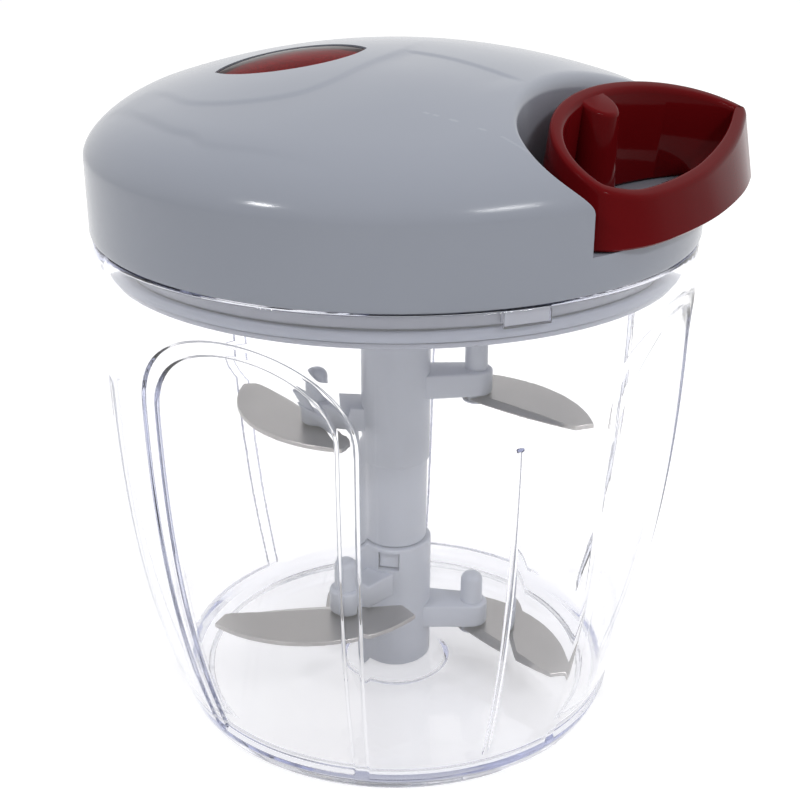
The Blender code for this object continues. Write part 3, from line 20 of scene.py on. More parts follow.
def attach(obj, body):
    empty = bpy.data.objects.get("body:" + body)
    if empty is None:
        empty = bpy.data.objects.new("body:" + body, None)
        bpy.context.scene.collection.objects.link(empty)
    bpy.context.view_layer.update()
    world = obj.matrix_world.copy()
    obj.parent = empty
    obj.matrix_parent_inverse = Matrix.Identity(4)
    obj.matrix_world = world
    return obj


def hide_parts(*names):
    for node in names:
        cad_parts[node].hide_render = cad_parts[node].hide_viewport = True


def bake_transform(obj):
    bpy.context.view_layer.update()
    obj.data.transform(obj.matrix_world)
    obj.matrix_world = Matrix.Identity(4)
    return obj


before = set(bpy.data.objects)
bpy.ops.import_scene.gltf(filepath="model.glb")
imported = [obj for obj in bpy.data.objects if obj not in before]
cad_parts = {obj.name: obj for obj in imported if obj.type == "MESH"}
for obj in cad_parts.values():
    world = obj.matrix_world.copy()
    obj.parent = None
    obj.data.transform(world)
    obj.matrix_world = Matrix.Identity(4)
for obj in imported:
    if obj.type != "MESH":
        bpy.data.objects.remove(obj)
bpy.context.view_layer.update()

LOG = logging.getLogger("chopper")
# The plan in which camera, lamps and creases are given is turned by this angle from the part's frame
SEEN_TURN = radians(35.3)
# Edges that turn by more degrees stay crisp, points nearer than the merge distance become one, and no
# length that something is divided by is taken as shorter than the least
SHARP = 38.0
MERGE = 1e-7
LEAST_LENGTH = 1e-6
# The angles at which a slab's rounded edge has its lines
EDGE_TURNS = (0.0, 0.55, 1.05, pi / 2)
WHITE = (1.0, 1.0, 1.0)
SQUARE = ((-1, -1), (1, -1), (1, 1), (-1, 1))

Point2 = tuple[float, float]
Point3 = tuple[float, float, float]
Colour = tuple[float, float, float]
Solid = tuple[list, list]
Socket = bpy.types.NodeSocket


class Body(Enum):
    """The moving groups of the chopper."""

    BOWL = "bowl_body"
    LID = "lid_body"
    REEL = "reel_body"
    HANDLE = "handle_body"
    BLADES = "blade_body"


class Slot(Enum):
    """The finishes that the part's record names."""

    BOWL = "bowl_clear"
    LID = "lid_grey"
    HANDLE = "handle_red"
    BADGE = "badge_red"
    COLUMN = "column_blue"
    INNER = "inner_white"
    BLADE = "blade_steel"
    BRIGHT = "bright_steel"
    CORD = "cord"
    SEAL = "seal"


class Spread(Enum):
    """Where a surface effect takes its coordinates from."""

    OBJECT = "Object"
    UV = "UV"


class Boolean(Enum):
    """How a tool changes a piece."""

    CUT = "DIFFERENCE"
    JOIN = "UNION"


# Plan geometry


def turned(x: float, y: float, angle: float, centre: Point2 = (0.0, 0.0)) -> Point2:
    """Turn a point in plan about the origin and move it to a centre."""
    return centre[0] + x * cos(angle) - y * sin(angle), centre[1] + x * sin(angle) + y * cos(angle)


def turned_outline(outline: Sequence[Point2], angle: float, centre: Point2 = (0.0, 0.0)) -> list[Point2]:
    """Turn and move every point of an outline."""
    return [turned(x, y, angle, centre) for x, y in outline]


def arc(centre: Point2, radius: float, start: float, end: float, steps: int) -> list[Point2]:
    """Return points along a circular arc, both ends included."""
    angles = [start + (end - start) * k / steps for k in range(steps + 1)]
    return [(centre[0] + radius * cos(a), centre[1] + radius * sin(a)) for a in angles]


def arc_through(first: Point2, middle: Point2, last: Point2, steps: int) -> list[Point2]:
    """Run an arc through three points.

    Args:
        first: Where it starts.
        middle: A point on its way.
        last: Where it ends.
        steps: How many spans it gets.

    Returns:
        The arc's points, both ends included.
    """
    (ax, ay), (bx, by), (cx, cy) = first, middle, last
    d = 2 * (ax * (by - cy) + bx * (cy - ay) + cx * (ay - by))
    a2, b2, c2 = ax * ax + ay * ay, bx * bx + by * by, cx * cx + cy * cy
    ux = (a2 * (by - cy) + b2 * (cy - ay) + c2 * (ay - by)) / d
    uy = (a2 * (cx - bx) + b2 * (ax - cx) + c2 * (bx - ax)) / d
    start, end = atan2(ay - uy, ax - ux), atan2(cy - uy, cx - ux)
    if d > 0:
        end = start + (end - start) % (2 * pi)
    else:
        end = start - (start - end) % (2 * pi)
    return arc((ux, uy), hypot(ax - ux, ay - uy), start, end, steps)


def round_angles(steps: int, phase: float = 0.0) -> list[float]:
    """Return evenly spaced angles round a circle."""
    return [phase + 2 * pi * k / steps for k in range(steps)]


def quarter(steps: int) -> list[Point2]:
    """Return how far in and how far down a quarter round runs, as shares of its size."""
    turns = [pi / 2 * k / steps for k in range(steps + 1)]
    return [(1 - cos(turn), 1 - sin(turn)) for turn in turns]


def inset(outline: Sequence[Point2], distance: float) -> list[Point2]:
    """Move a closed anticlockwise outline inwards along its normals.

    Args:
        outline: The points of the outline.
        distance: How far each point moves.

    Returns:
        As many points as the outline has.
    """
    moved = []
    count = len(outline)
    for k, (x, y) in enumerate(outline):
        before, after = Vector(outline[k - 1]), Vector(outline[(k + 1) % count])
        tangent = (after - before).normalized()
        moved.append((x - tangent.y * distance, y + tangent.x * distance))
    return moved


def drawn_in(outline: Sequence[Point2], distance: float) -> list[Point2]:
    """Draw an outline in towards its middle.

    Args:
        outline: The points of the outline.
        distance: How far each point moves.

    Returns:
        As many points as the outline has.
    """
    cx = sum(x for x, _ in outline) / len(outline)
    cy = sum(y for _, y in outline) / len(outline)
    drawn = []
    for x, y in outline:
        away = max(hypot(x - cx, y - cy), LEAST_LENGTH)
        drawn.append((x - (x - cx) / away * distance, y - (y - cy) / away * distance))
    return drawn


def soften(outline: Sequence[Point2]) -> list[Point2]:
    """Round off the corners of a closed outline by averaging neighbours."""
    trios = zip((outline[-1], *outline), outline, (*outline[1:], outline[0]))
    return [tuple((a[i] + 2 * b[i] + c[i]) / 4 for i in (0, 1)) for a, b, c in trios]


def between(points: Sequence[np.ndarray], t: float) -> np.ndarray:
    """Find a point on a smooth curve through four, between the second and the third.

    Args:
        points: The four points in order.
        t: The share of the way from the second to the third.

    Returns:
        The point.
    """
    p0, p1, p2, p3 = points
    return 0.5 * (
        2 * p1 + (p2 - p0) * t + (2 * p0 - 5 * p1 + 4 * p2 - p3) * t * t + (3 * p1 - p0 - 3 * p2 + p3) * t**3
    )


def smooth_loop(points: Sequence[Sequence[float]], per_span: int) -> list[tuple[float, ...]]:
    """Refine a closed loop of points with a smooth curve through them.

    Args:
        points: The points of the loop, in two or three dimensions.
        per_span: How many points each span between two given points becomes.

    Returns:
        The refined loop, which passes through every given point.
    """
    count = len(points)
    fine = []
    for k in range(count):
        given = [np.array(points[(k + step) % count], float) for step in (-1, 0, 1, 2)]
        fine += [tuple(float(v) for v in between(given, j / per_span)) for j in range(per_span)]
    return fine


def smooth_line(points: Sequence[Point2], per_span: int) -> np.ndarray:
    """Refine an open line with a smooth curve through its points, its ends carried on straight.

    Args:
        points: The points of the line.
        per_span: How many points each span between two given points becomes.

    Returns:
        The refined line, one point a row.
    """
    given = np.array(points, float)
    padded = [2 * given[0] - given[1], *given, 2 * given[-1] - given[-2]]
    fours = [padded[k : k + 4] for k in range(len(padded) - 3)]
    return np.array([*(between(four, j / per_span) for four in fours for j in range(per_span)), given[-1]])


def eased(share: float) -> float:
    """Return a smooth step from 0 to 1."""
    share = min(max(share, 0.0), 1.0)
    return share * share * (3 - 2 * share)


# Meshes


def mesh_piece(name: str, verts: Sequence, faces: Sequence, sharp: float = SHARP) -> bpy.types.Object:
    """Make an object from points and faces, with smooth faces and crisp edges.

    Args:
        name: The piece's name.
        verts: Its points in the part's frame.
        faces: Its faces as lists of point numbers.
        sharp: Edges that turn by more degrees than this stay crisp.

    Returns:
        The linked object.
    """
    mesh = bpy.data.meshes.new(name)
    mesh.from_pydata([tuple(v) for v in verts], [], [tuple(f) for f in faces])
    grid = bmesh.new()
    grid.from_mesh(mesh)
    bmesh.ops.remove_doubles(grid, verts=grid.verts, dist=MERGE)
    bmesh.ops.dissolve_degenerate(grid, dist=MERGE / 10, edges=grid.edges)
    bmesh.ops.recalc_face_normals(grid, faces=grid.faces)
    grid.to_mesh(mesh)
    grid.free()
    piece = bpy.data.objects.new(name, mesh)
    bpy.context.scene.collection.objects.link(piece)
    crisp(piece, sharp)
    return piece


def crisp(piece: bpy.types.Object, sharp: float) -> None:
    """Shade a piece smooth and keep the edges crisp that turn by more than an angle in degrees."""
    piece.data.shade_smooth()
    piece.data.set_sharp_from_angle(angle=radians(sharp))


def grid_faces(rows: int, width: int) -> list[tuple[int, ...]]:
    """Return quads over rows of points that are all as wide as given."""
    corners = [row * width + k for row in range(rows - 1) for k in range(width - 1)]
    return [(a, a + 1, a + 1 + width, a + width) for a in corners]


def loft(rings: Sequence[Sequence[Point3]], capped: bool = True, closed: bool = False) -> Solid:
    """Join rings of equal point counts by quads.

    Args:
        rings: The rings in order.
        capped: Whether the first and last ring are filled.
        closed: Whether the last ring also joins the first.

    Returns:
        The points and the faces.
    """
    count = len(rings[0])
    verts = [point for ring in rings for point in ring]
    faces = []
    for level in range(len(rings) if closed else len(rings) - 1):
        low, high = level * count, (level + 1) % len(rings) * count
        for k in range(count):
            along = (k + 1) % count
            faces.append((low + k, low + along, high + along, high + k))
    if capped and not closed:
        faces.append(tuple(range(count)))
        faces.append(tuple((len(rings) - 1) * count + k for k in range(count)))
    return verts, faces


def prism(outline: Sequence[Point2], low: float, high: float) -> Solid:
    """Raise an outline in plan to a block with upright sides."""
    return loft([[(x, y, z) for x, y in outline] for z in (low, high)])


def revolve(
    profile: Callable[[float], Sequence[Point2]] | Sequence[Point2],
    angles: Sequence[float],
    centre: Point2 = (0.0, 0.0),
) -> Solid:
    """Turn a profile of (radius, height) points round a vertical axis.

    Args:
        profile: The points, or a function of the angle that returns them.
        angles: The angles of the columns.
        centre: Where the axis stands.

    Returns:
        The points and faces. A profile that ends on the axis closes there, any other becomes a ring.
    """
    at = profile if callable(profile) else (lambda angle: profile)
    cx, cy = centre
    columns = [[(cx + r * cos(angle), cy + r * sin(angle), z) for r, z in at(angle)] for angle in angles]
    rows = len(columns[0])
    first = at(angles[0])
    on_axis = first[0][0] == 0 and first[-1][0] == 0
    verts = [point for column in columns for point in column]
    faces = []
    for k in range(len(columns)):
        here, there = k * rows, (k + 1) % len(columns) * rows
        for j in range(rows - 1 if on_axis else rows):
            up = (j + 1) % rows
            quad = (here + j, there + j, there + up, here + up)
            if first[j][0] == 0:
                quad = (here, there + up, here + up)
            elif first[up][0] == 0:
                quad = (here + j, there + j, here + up)
            faces.append(quad)
    return verts, faces


def together(*parts: Solid) -> Solid:
    """Put several point and face lists into one.

    Args:
        *parts: The lists.

    Returns:
        The points and the faces.
    """
    verts, faces = [], []
    for part_verts, part_faces in parts:
        base = len(verts)
        verts += part_verts
        faces += [tuple(base + k for k in face) for face in part_faces]
    return verts, faces


def rounded_profile(corners: Sequence[Point3], steps: int = 3) -> list[Point2]:
    """Round the corners of a profile.

    Args:
        corners: Radius, height and rounding of each corner.
        steps: How many spans each rounding gets.

    Returns:
        The profile's points.
    """
    points = []
    for k, (r, z, rounding) in enumerate(corners):
        if rounding == 0:
            points.append((r, z))
            continue
        here = Vector((r, z))
        before = Vector(corners[k - 1][:2]) - here
        after = Vector(corners[(k + 1) % len(corners)][:2]) - here
        reach = min(rounding, before.length / 2, after.length / 2)
        start, end = here + before.normalized() * reach, here + after.normalized() * reach
        for j in range(steps + 1):
            t = j / steps
            place = start * (1 - t) ** 2 + here * 2 * t * (1 - t) + end * t * t
            points.append((place.x, place.y))
    return points


def slab(outline: Sequence[Point2], low: float, high: float, edge: float) -> Solid:
    """Make a flat piece whose upper and lower edges are rounded.

    Args:
        outline: Its outline in plan.
        low: The height of its underside.
        high: The height of its top.
        edge: The size of the rounding.

    Returns:
        The points and the faces.
    """
    lower = [
        [(x, y, low + edge * (1 - cos(a))) for x, y in inset(outline, edge * (1 - sin(a)))]
        for a in EDGE_TURNS
    ]
    upper = [[(x, y, low + high - z) for x, y, z in ring] for ring in reversed(lower)]
    return loft(lower + upper)


def tube(points: Sequence[Point3], radius: float, sides: int, closed: bool = False) -> Solid:
    """Sweep a round section along a line of points.

    Args:
        points: The middle line.
        radius: The tube's radius.
        sides: How many sides the section has.
        closed: Whether the line runs back into its start.

    Returns:
        The points and the faces.
    """
    line = [Vector(p) for p in points]
    count = len(line)
    rings = []
    side = None
    for k, place in enumerate(line):
        ahead = line[(k + 1) % count] if closed or k < count - 1 else place
        behind = line[k - 1] if closed or k > 0 else place
        along = (ahead - behind).normalized()
        if side is None:
            side = along.orthogonal().normalized()
        side = (side - along * side.dot(along)).normalized()
        other = along.cross(side)
        rings.append([tuple(place + (side * cos(a) + other * sin(a)) * radius) for a in round_angles(sides)])
    return loft(rings, capped=not closed, closed=closed)


def combine(
    piece: bpy.types.Object, tools: Sequence[Solid], way: Boolean = Boolean.CUT, sharp: float = SHARP
) -> None:
    """Change a piece by each closed tool in turn, and keep its shading.

    Args:
        piece: The piece to change.
        tools: The points and faces of each tool.
        way: Whether the tools are cut out or joined on.
        sharp: The angle in degrees over which edges stay crisp.
    """
    for verts, faces in tools:
        other = mesh_piece("tool", verts, faces)
        step = piece.modifiers.new("step", "BOOLEAN")
        step.operation = way.value
        step.solver = "EXACT"
        step.object = other
        bpy.context.view_layer.update()
        graph = bpy.context.evaluated_depsgraph_get()
        result = bpy.data.meshes.new_from_object(piece.evaluated_get(graph))
        piece.modifiers.remove(step)
        piece.data = result
        bpy.data.objects.remove(other)
    crisp(piece, sharp)


# Node trees


@dataclass
class Nodes:
    """A node tree, with short calls that add nodes to it."""

    tree: bpy.types.NodeTree

    def put(self, kind: str, sockets: dict | None = None, **settings: object) -> bpy.types.Node:
        """Add a node.

        Args:
            kind: The node's type, for a shader node without the words that all of them share.
            sockets: Values for input sockets, or output sockets of other nodes to link to them.
            **settings: Attributes of the node.

        Returns:
            The node.
        """
        node = self.tree.nodes.new(kind if kind.startswith("Node") else f"ShaderNode{kind}")
        for name, value in settings.items():
            setattr(node, name, value)
        self.feed(node, sockets or {})
        return node

    def feed(self, node: bpy.types.Node, sockets: dict) -> None:
        """Set or link input sockets of a node.

        Args:
            node: The node.
            sockets: A value or an output socket for each input's name or number.
        """
        for name, value in sockets.items():
            if isinstance(value, Socket):
                self.tree.links.new(value, node.inputs[name])
            else:
                node.inputs[name].default_value = value

    def maths(self, operation: str, *values: Socket | float, **settings: bool) -> Socket:
        """Add a Math node and return its result."""
        return self.put("Math", dict(enumerate(values)), operation=operation, **settings).outputs[0]

    def mapped(self, value: Socket, *span: Socket | float) -> Socket:
        """Map a value from the first two numbers of a span to the last two."""
        names = ("From Min", "From Max", "To Min", "To Max")
        return self.put("MapRange", {"Value": value, **dict(zip(names, span))}).outputs["Result"]

    def noise(self, place: Socket, scale: Socket | float, detail: float, **more: float) -> Socket:
        """Add a noise texture and return its factor."""
        sockets = {"Vector": place, "Scale": scale, "Detail": detail, **more}
        return self.put("TexNoise", sockets).outputs["Fac"]

    def place(self, spread: Spread = Spread.OBJECT) -> Socket:
        """Return the coordinates of the surface."""
        return self.put("TexCoord").outputs[spread.value]

    def bump(self, strength: float, distance: float, height: Socket) -> Socket:
        """Add a Bump node and return its normal."""
        sockets = {"Strength": strength, "Distance": distance, "Height": height}
        return self.put("Bump", sockets).outputs["Normal"]

    def tones(self, mask: Socket, first: Socket | Colour, second: Socket | Colour) -> Socket:
        """Mix two colours by a mask.

        Args:
            mask: How much of the second colour shows.
            first: A colour or a colour socket.
            second: Another.

        Returns:
            The mixed colour.
        """
        mix = self.put("Mix", data_type="RGBA")
        pair = [value if isinstance(value, Socket) else (*value, 1.0) for value in (first, second)]
        self.feed(mix, {0: mask, 6: pair[0], 7: pair[1]})
        return mix.outputs[2]

    def seen(self) -> Socket:
        """Mark the rays that show the background.

        Returns:
            The mask of camera, transmission and glossy rays.
        """
        rays = self.put("LightPath").outputs
        direct = self.maths("MAXIMUM", rays["Is Camera Ray"], rays["Is Transmission Ray"])
        return self.maths("MAXIMUM", direct, rays["Is Glossy Ray"])


def new_group(name: str, inputs: dict[str, float | None], outputs: Sequence[str]) -> tuple[Nodes, Sequence]:
    """Start the node group of an effect.

    Args:
        name: The group's name.
        inputs: Its inputs with their defaults, where None makes a vector input.
        outputs: The names of its number outputs.

    Returns:
        The group's nodes and the sockets that its inputs give.
    """
    tree = bpy.data.node_groups.new(name, "ShaderNodeTree")
    for label, value in inputs.items():
        kind = "NodeSocketVector" if value is None else "NodeSocketFloat"
        socket = tree.interface.new_socket(name=label, in_out="INPUT", socket_type=kind)
        if value is not None:
            socket.default_value = value
    for label in outputs:
        tree.interface.new_socket(name=label, in_out="OUTPUT", socket_type="NodeSocketFloat")
    nodes = Nodes(tree)
    return nodes, nodes.put("NodeGroupInput").outputs


# Where each mask starts and ends in what it is made from, and what it then runs from and to
DRIFT_SPAN = (0.3, 0.7, 0.0, 1.0)
MARK_SPAN = (0.68, 0.80, 0.0, 1.0)
# The span of pointiness over which the painted highlight along edges comes in
EDGE_HIGHLIGHT_SPAN = (0.54, 0.62, 0.0, 1.0)
TONE_SPAN = (0.75, 1.25, 0.0, 1.0)
# How the noise behind the handling marks is drawn out and turned
MARK_STRETCH = (60.0, 900.0, 240.0)
MARK_TURN = (0.3, 0.2, 0.9)


@cache
def moulded_surface() -> bpy.types.NodeTree:
    """Build the effect of moulded plastic once: slow shade drift, fine grain, and marks from handling.

    Returns:
        The effect's node group.
    """
    nodes, given = new_group(
        "moulded_surface",
        {"Flow Scale": 18.0, "Grain Scale": 900.0, "Marks": 0.5, "Rough Low": 0.1, "Rough High": 0.2},
        ("Drift", "Rough", "Height"),
    )
    place = nodes.place()
    flow = nodes.noise(place, given["Flow Scale"], 3.0, Distortion=0.4)
    grain = nodes.noise(place, given["Grain Scale"], 2.0)
    stretch = {"Vector": place, "Scale": MARK_STRETCH, "Rotation": MARK_TURN}
    lines = nodes.noise(nodes.put("Mapping", stretch).outputs["Vector"], 1.0, 1.0)
    marks = nodes.maths("MULTIPLY", nodes.mapped(lines, *MARK_SPAN), given["Marks"])
    drift = nodes.mapped(flow, *DRIFT_SPAN)
    worn = nodes.maths("ADD", drift, marks, use_clamp=True)
    rough = nodes.mapped(worn, 0.0, 1.0, given["Rough Low"], given["Rough High"])
    height = nodes.maths("MULTIPLY_ADD", flow, 6.0, grain)
    nodes.put("NodeGroupOutput", {"Drift": drift, "Rough": rough, "Height": height})
    return nodes.tree


@cache
def painted_edge_highlight() -> bpy.types.NodeTree:
    """Build the painted highlight along edges once: it lifts the tone where the mesh is pointy.

    Returns:
        The effect's node group.
    """
    # Edge Gain sets how strong the painted highlight along edges is
    nodes, given = new_group("painted_edge_highlight", {"Edge Gain": 0.5}, ("Edge",))
    bend = nodes.put("NewGeometry").outputs["Pointiness"]
    edge = nodes.maths("MULTIPLY", nodes.mapped(bend, *EDGE_HIGHLIGHT_SPAN), given["Edge Gain"])
    nodes.put("NodeGroupOutput", {"Edge": edge})
    return nodes.tree


@cache
def ground_lines() -> bpy.types.NodeTree:
    """Build the effect of ground steel once: fine parallel lines with a slow drift across them.

    Returns:
        The effect's node group.
    """
    nodes, given = new_group(
        "ground_lines",
        {"Along": 60.0, "Across": 2600.0, "Rough Low": 0.2, "Rough High": 0.4, "Place": None},
        ("Tone", "Rough", "Height"),
    )
    scale = {"X": given["Across"], "Y": given["Along"], "Z": given["Along"]}
    scale = nodes.put("CombineXYZ", scale).outputs["Vector"]
    stretched = nodes.put("VectorMath", {0: given["Place"], 1: scale}, operation="MULTIPLY").outputs["Vector"]
    lines = nodes.noise(stretched, 1.0, 4.0, Roughness=0.7)
    slow = nodes.noise(given["Place"], 90.0, 2.0)
    tone = nodes.mapped(nodes.maths("ADD", lines, slow), *TONE_SPAN)
    rough = nodes.mapped(tone, 0.0, 1.0, given["Rough Low"], given["Rough High"])
    nodes.put("NodeGroupOutput", {"Tone": tone, "Rough": rough, "Height": lines})
    return nodes.tree


# Finishes


@dataclass(frozen=True)
class Finish:
    """What every finish has: a name, and the record's slot that it fills."""

    name: str
    slot: Slot

    def make(self) -> bpy.types.Material:
        """Build the material.

        Returns:
            The material.
        """
        material = bpy.data.materials.new(self.name)
        material.use_nodes = True
        nodes = Nodes(material.node_tree)
        shader = nodes.tree.nodes["Principled BSDF"]
        nodes.feed(shader, self.look(nodes))
        nodes.feed(nodes.tree.nodes["Material Output"], self.around(nodes, shader))
        return material

    def look(self, nodes: Nodes) -> dict[str, object]:
        """Add the finish's nodes and return what its shader's sockets get."""
        raise NotImplementedError

    def around(self, nodes: Nodes, shader: bpy.types.Node) -> dict[str, object]:
        """Return what else the output's sockets get beside the shader, which is nothing for most."""
        return {}


@dataclass(frozen=True)
class MouldedPlastic(Finish):
    """An opaque moulded plastic with slow shade drift, grain, handling marks and a painted highlight along
    its edges.
    """

    colour: Colour
    second: Colour
    # The colour of the painted highlight along edges
    edge: Colour
    rough: Point2
    grain: float = 900.0
    bump: float = 0.02
    relief: float = 0.0002
    marks: float = 0.0
    specular: float = 0.5
    subsurface: float = 0.0
    depth: float = 0.002
    depth_spread: Colour = (1.0, 0.9, 0.8)

    def look(self, nodes: Nodes) -> dict[str, object]:
        """Lay the moulded surface and the painted highlight along edges over two tones.

        Args:
            nodes: The material's nodes.

        Returns:
            What the shader's sockets get.
        """
        low, high = self.rough
        values = {"Grain Scale": self.grain, "Marks": self.marks, "Rough Low": low, "Rough High": high}
        surface = nodes.put("Group", values, node_tree=moulded_surface()).outputs
        edges = nodes.put("Group", node_tree=painted_edge_highlight()).outputs
        colour = nodes.tones(surface["Drift"], self.colour, self.second)
        sockets = {
            # Edges are mixed towards the painted highlight colour
            "Base Color": nodes.tones(edges["Edge"], colour, self.edge),
            "Roughness": surface["Rough"],
            "Normal": nodes.bump(self.bump, self.relief, surface["Height"]),
            "Specular IOR Level": self.specular,
        }
        if self.subsurface:
            sockets["Subsurface Weight"] = self.subsurface
            sockets["Subsurface Scale"] = self.depth
            sockets["Subsurface Radius"] = self.depth_spread
        return sockets


@dataclass(frozen=True)
class ClearPlastic(Finish):
    """A clear moulded plastic that bends light and takes a tint where it is thick."""

    tint: Colour
    ior: float
    rough: Point2
    bump: float
    depth_colour: Colour = WHITE
    depth_density: float = 0.0
    specular: float = 0.5
    relief: float = 0.0003
    flow: float = 45.0
    grain: float = 500.0
    marks: float = 0.3
    lighter: float = 1.02

    def look(self, nodes: Nodes) -> dict[str, object]:
        """Lay the moulded surface over clear plastic.

        Args:
            nodes: The material's nodes.

        Returns:
            What the shader's sockets get.
        """
        low, high = self.rough
        values = {"Flow Scale": self.flow, "Grain Scale": self.grain, "Marks": self.marks}
        values |= {"Rough Low": low, "Rough High": high}
        surface = nodes.put("Group", values, node_tree=moulded_surface()).outputs
        lighter = tuple(min(1.0, channel * self.lighter) for channel in self.tint)
        return {
            "Base Color": nodes.tones(surface["Drift"], self.tint, lighter),
            "Roughness": surface["Rough"],
            "Normal": nodes.bump(self.bump, self.relief, surface["Height"]),
            "Transmission Weight": 1.0,
            "Specular IOR Level": self.specular,
            "IOR": self.ior,
        }

    def around(self, nodes: Nodes, shader: bpy.types.Node) -> dict[str, object]:
        """Let shadow and diffuse rays pass straight through, so that what is inside is lit.

        Args:
            nodes: The material's nodes.
            shader: The material's shader.

        Returns:
            What the output's sockets get.
        """
        rays = nodes.put("LightPath").outputs
        passing = nodes.maths("MAXIMUM", rays["Is Shadow Ray"], rays["Is Diffuse Ray"])
        through = nodes.put("BsdfTransparent", {"Color": (*self.tint, 1.0)}).outputs[0]
        mix = nodes.put("MixShader", {0: passing, 1: shader.outputs[0], 2: through}).outputs[0]
        if not self.depth_density:
            return {"Surface": mix}
        absorbed = {"Color": (*self.depth_colour, 1.0), "Density": self.depth_density}
        return {"Surface": mix, "Volume": nodes.put("VolumeAbsorption", absorbed).outputs[0]}


@dataclass(frozen=True)
class Steel(Finish):
    """Steel with fine lines from grinding."""

    colour: Colour
    second: Colour
    rough: Point2
    along: float
    across: float
    spread: Spread
    bump: float = 0.05
    relief: float = 0.00005
    anisotropic: float = 0.4
    # How much brighter the painted highlight along edges is than the second tone
    edge_highlight_gain: float = 1.5

    def look(self, nodes: Nodes) -> dict[str, object]:
        """Lay ground lines and a painted highlight along edges over two tones.

        Args:
            nodes: The material's nodes.

        Returns:
            What the shader's sockets get.
        """
        low, high = self.rough
        values = {"Along": self.along, "Across": self.across, "Rough Low": low, "Rough High": high}
        values["Place"] = nodes.place(self.spread)
        lines = nodes.put("Group", values, node_tree=ground_lines()).outputs
        edges = nodes.put("Group", node_tree=painted_edge_highlight()).outputs
        colour = nodes.tones(lines["Tone"], self.colour, self.second)
        # The painted highlight along edges: the second tone made brighter
        bright = tuple(min(1.0, channel * self.edge_highlight_gain) for channel in self.second)
        return {
            "Base Color": nodes.tones(edges["Edge"], colour, bright),
            "Roughness": lines["Rough"],
            "Normal": nodes.bump(self.bump, self.relief, lines["Height"]),
            "Metallic": 1.0,
            "Anisotropic": self.anisotropic,
        }


@dataclass(frozen=True)
class Braid(Finish):
    """A braided cord: two sets of strands that cross, with soft fuzz."""

    colour: Colour
    shadow: Colour
    turns: float = 1400.0
    lean: float = 0.8
    fuzz: float = 5000.0
    bump: float = 0.6
    relief: float = 0.0001
    rough: float = 0.85
    sheen: float = 0.2

    def look(self, nodes: Nodes) -> dict[str, object]:
        """Cross two sets of strands and lay fuzz over them.

        Args:
            nodes: The material's nodes.

        Returns:
            What the shader's sockets get.
        """
        place = nodes.place()
        waves = []
        for lean in (self.lean, -self.lean):
            leaned = {"Vector": place, "Scale": (self.turns,) * 3, "Rotation": (0.0, lean, lean)}
            strands = {"Vector": nodes.put("Mapping", leaned).outputs["Vector"], "Scale": 1.0}
            strands |= {"Distortion": 1.2, "Detail": 1.0}
            waves.append(nodes.put("TexWave", strands, wave_type="BANDS").outputs["Fac"])
        weave = nodes.maths("MULTIPLY", *waves)
        height = nodes.maths("MULTIPLY_ADD", weave, 0.8, nodes.noise(place, self.fuzz, 3.0))
        return {
            "Base Color": nodes.tones(weave, self.shadow, self.colour),
            "Normal": nodes.bump(self.bump, self.relief, height),
            "Roughness": self.rough,
            "Sheen Weight": self.sheen,
        }


# The third colour of each moulded plastic is the painted highlight along its edges
CLEAR = ClearPlastic(
    "clear_styrene", Slot.BOWL, (0.980, 0.977, 0.976), 1.57, (0.01, 0.03), 0.004, (0.60, 0.63, 0.80), 26.0
)
DOME = MouldedPlastic(
    "blue_grey_gloss", Slot.LID, (0.309, 0.330, 0.384), (0.327, 0.348, 0.405), (0.390, 0.412, 0.475),
    (0.13, 0.20), specular=0.30,
)
COVER = MouldedPlastic(
    "cover_blue_grey", Slot.LID, (0.42, 0.44, 0.52), (0.44, 0.46, 0.545), (0.50, 0.52, 0.61), (0.18, 0.26)
)
RED = MouldedPlastic(
    "dark_red_gloss", Slot.HANDLE, (0.114, 0.0030, 0.0043), (0.131, 0.0039, 0.0054), (0.162, 0.0075, 0.0095),
    (0.07, 0.12), specular=0.032,
)
RED_CLEAR = ClearPlastic(
    "red_clear", Slot.BADGE, (0.39, 0.016, 0.020), 1.06, (0.03, 0.08), 0.02, specular=0.3
)
SATIN = MouldedPlastic(
    "pale_blue_satin", Slot.COLUMN, (0.57, 0.60, 0.68), (0.60, 0.63, 0.71), (0.67, 0.70, 0.78),
    (0.28, 0.38), grain=1400.0, bump=0.05, marks=0.2, subsurface=0.1,
)
ACETAL = MouldedPlastic(
    "natural_acetal", Slot.INNER, (0.74, 0.74, 0.71), (0.78, 0.78, 0.76), (0.82, 0.82, 0.80),
    (0.38, 0.5), grain=1600.0, bump=0.06, marks=0.3, subsurface=0.1,
)
BLADE_STEEL = Steel(
    "ground_blade_steel", Slot.BLADE, (0.340, 0.326, 0.320), (0.380, 0.364, 0.356), (0.30, 0.36),
    60.0, 2600.0, Spread.UV, bump=0.015, anisotropic=0.2,
)
BRIGHT_STEEL = Steel(
    "bright_steel", Slot.BRIGHT, (0.55, 0.55, 0.55), (0.68, 0.68, 0.67), (0.16, 0.28),
    200.0, 3000.0, Spread.OBJECT,
)
BRAID = Braid("braided_cord", Slot.CORD, (0.80, 0.79, 0.75), (0.42, 0.41, 0.38))
SILICONE = MouldedPlastic(
    "soft_silicone", Slot.SEAL, (0.42, 0.45, 0.54), (0.46, 0.49, 0.58), (0.50, 0.53, 0.62),
    (0.45, 0.6), bump=0.1, subsurface=0.2,
)


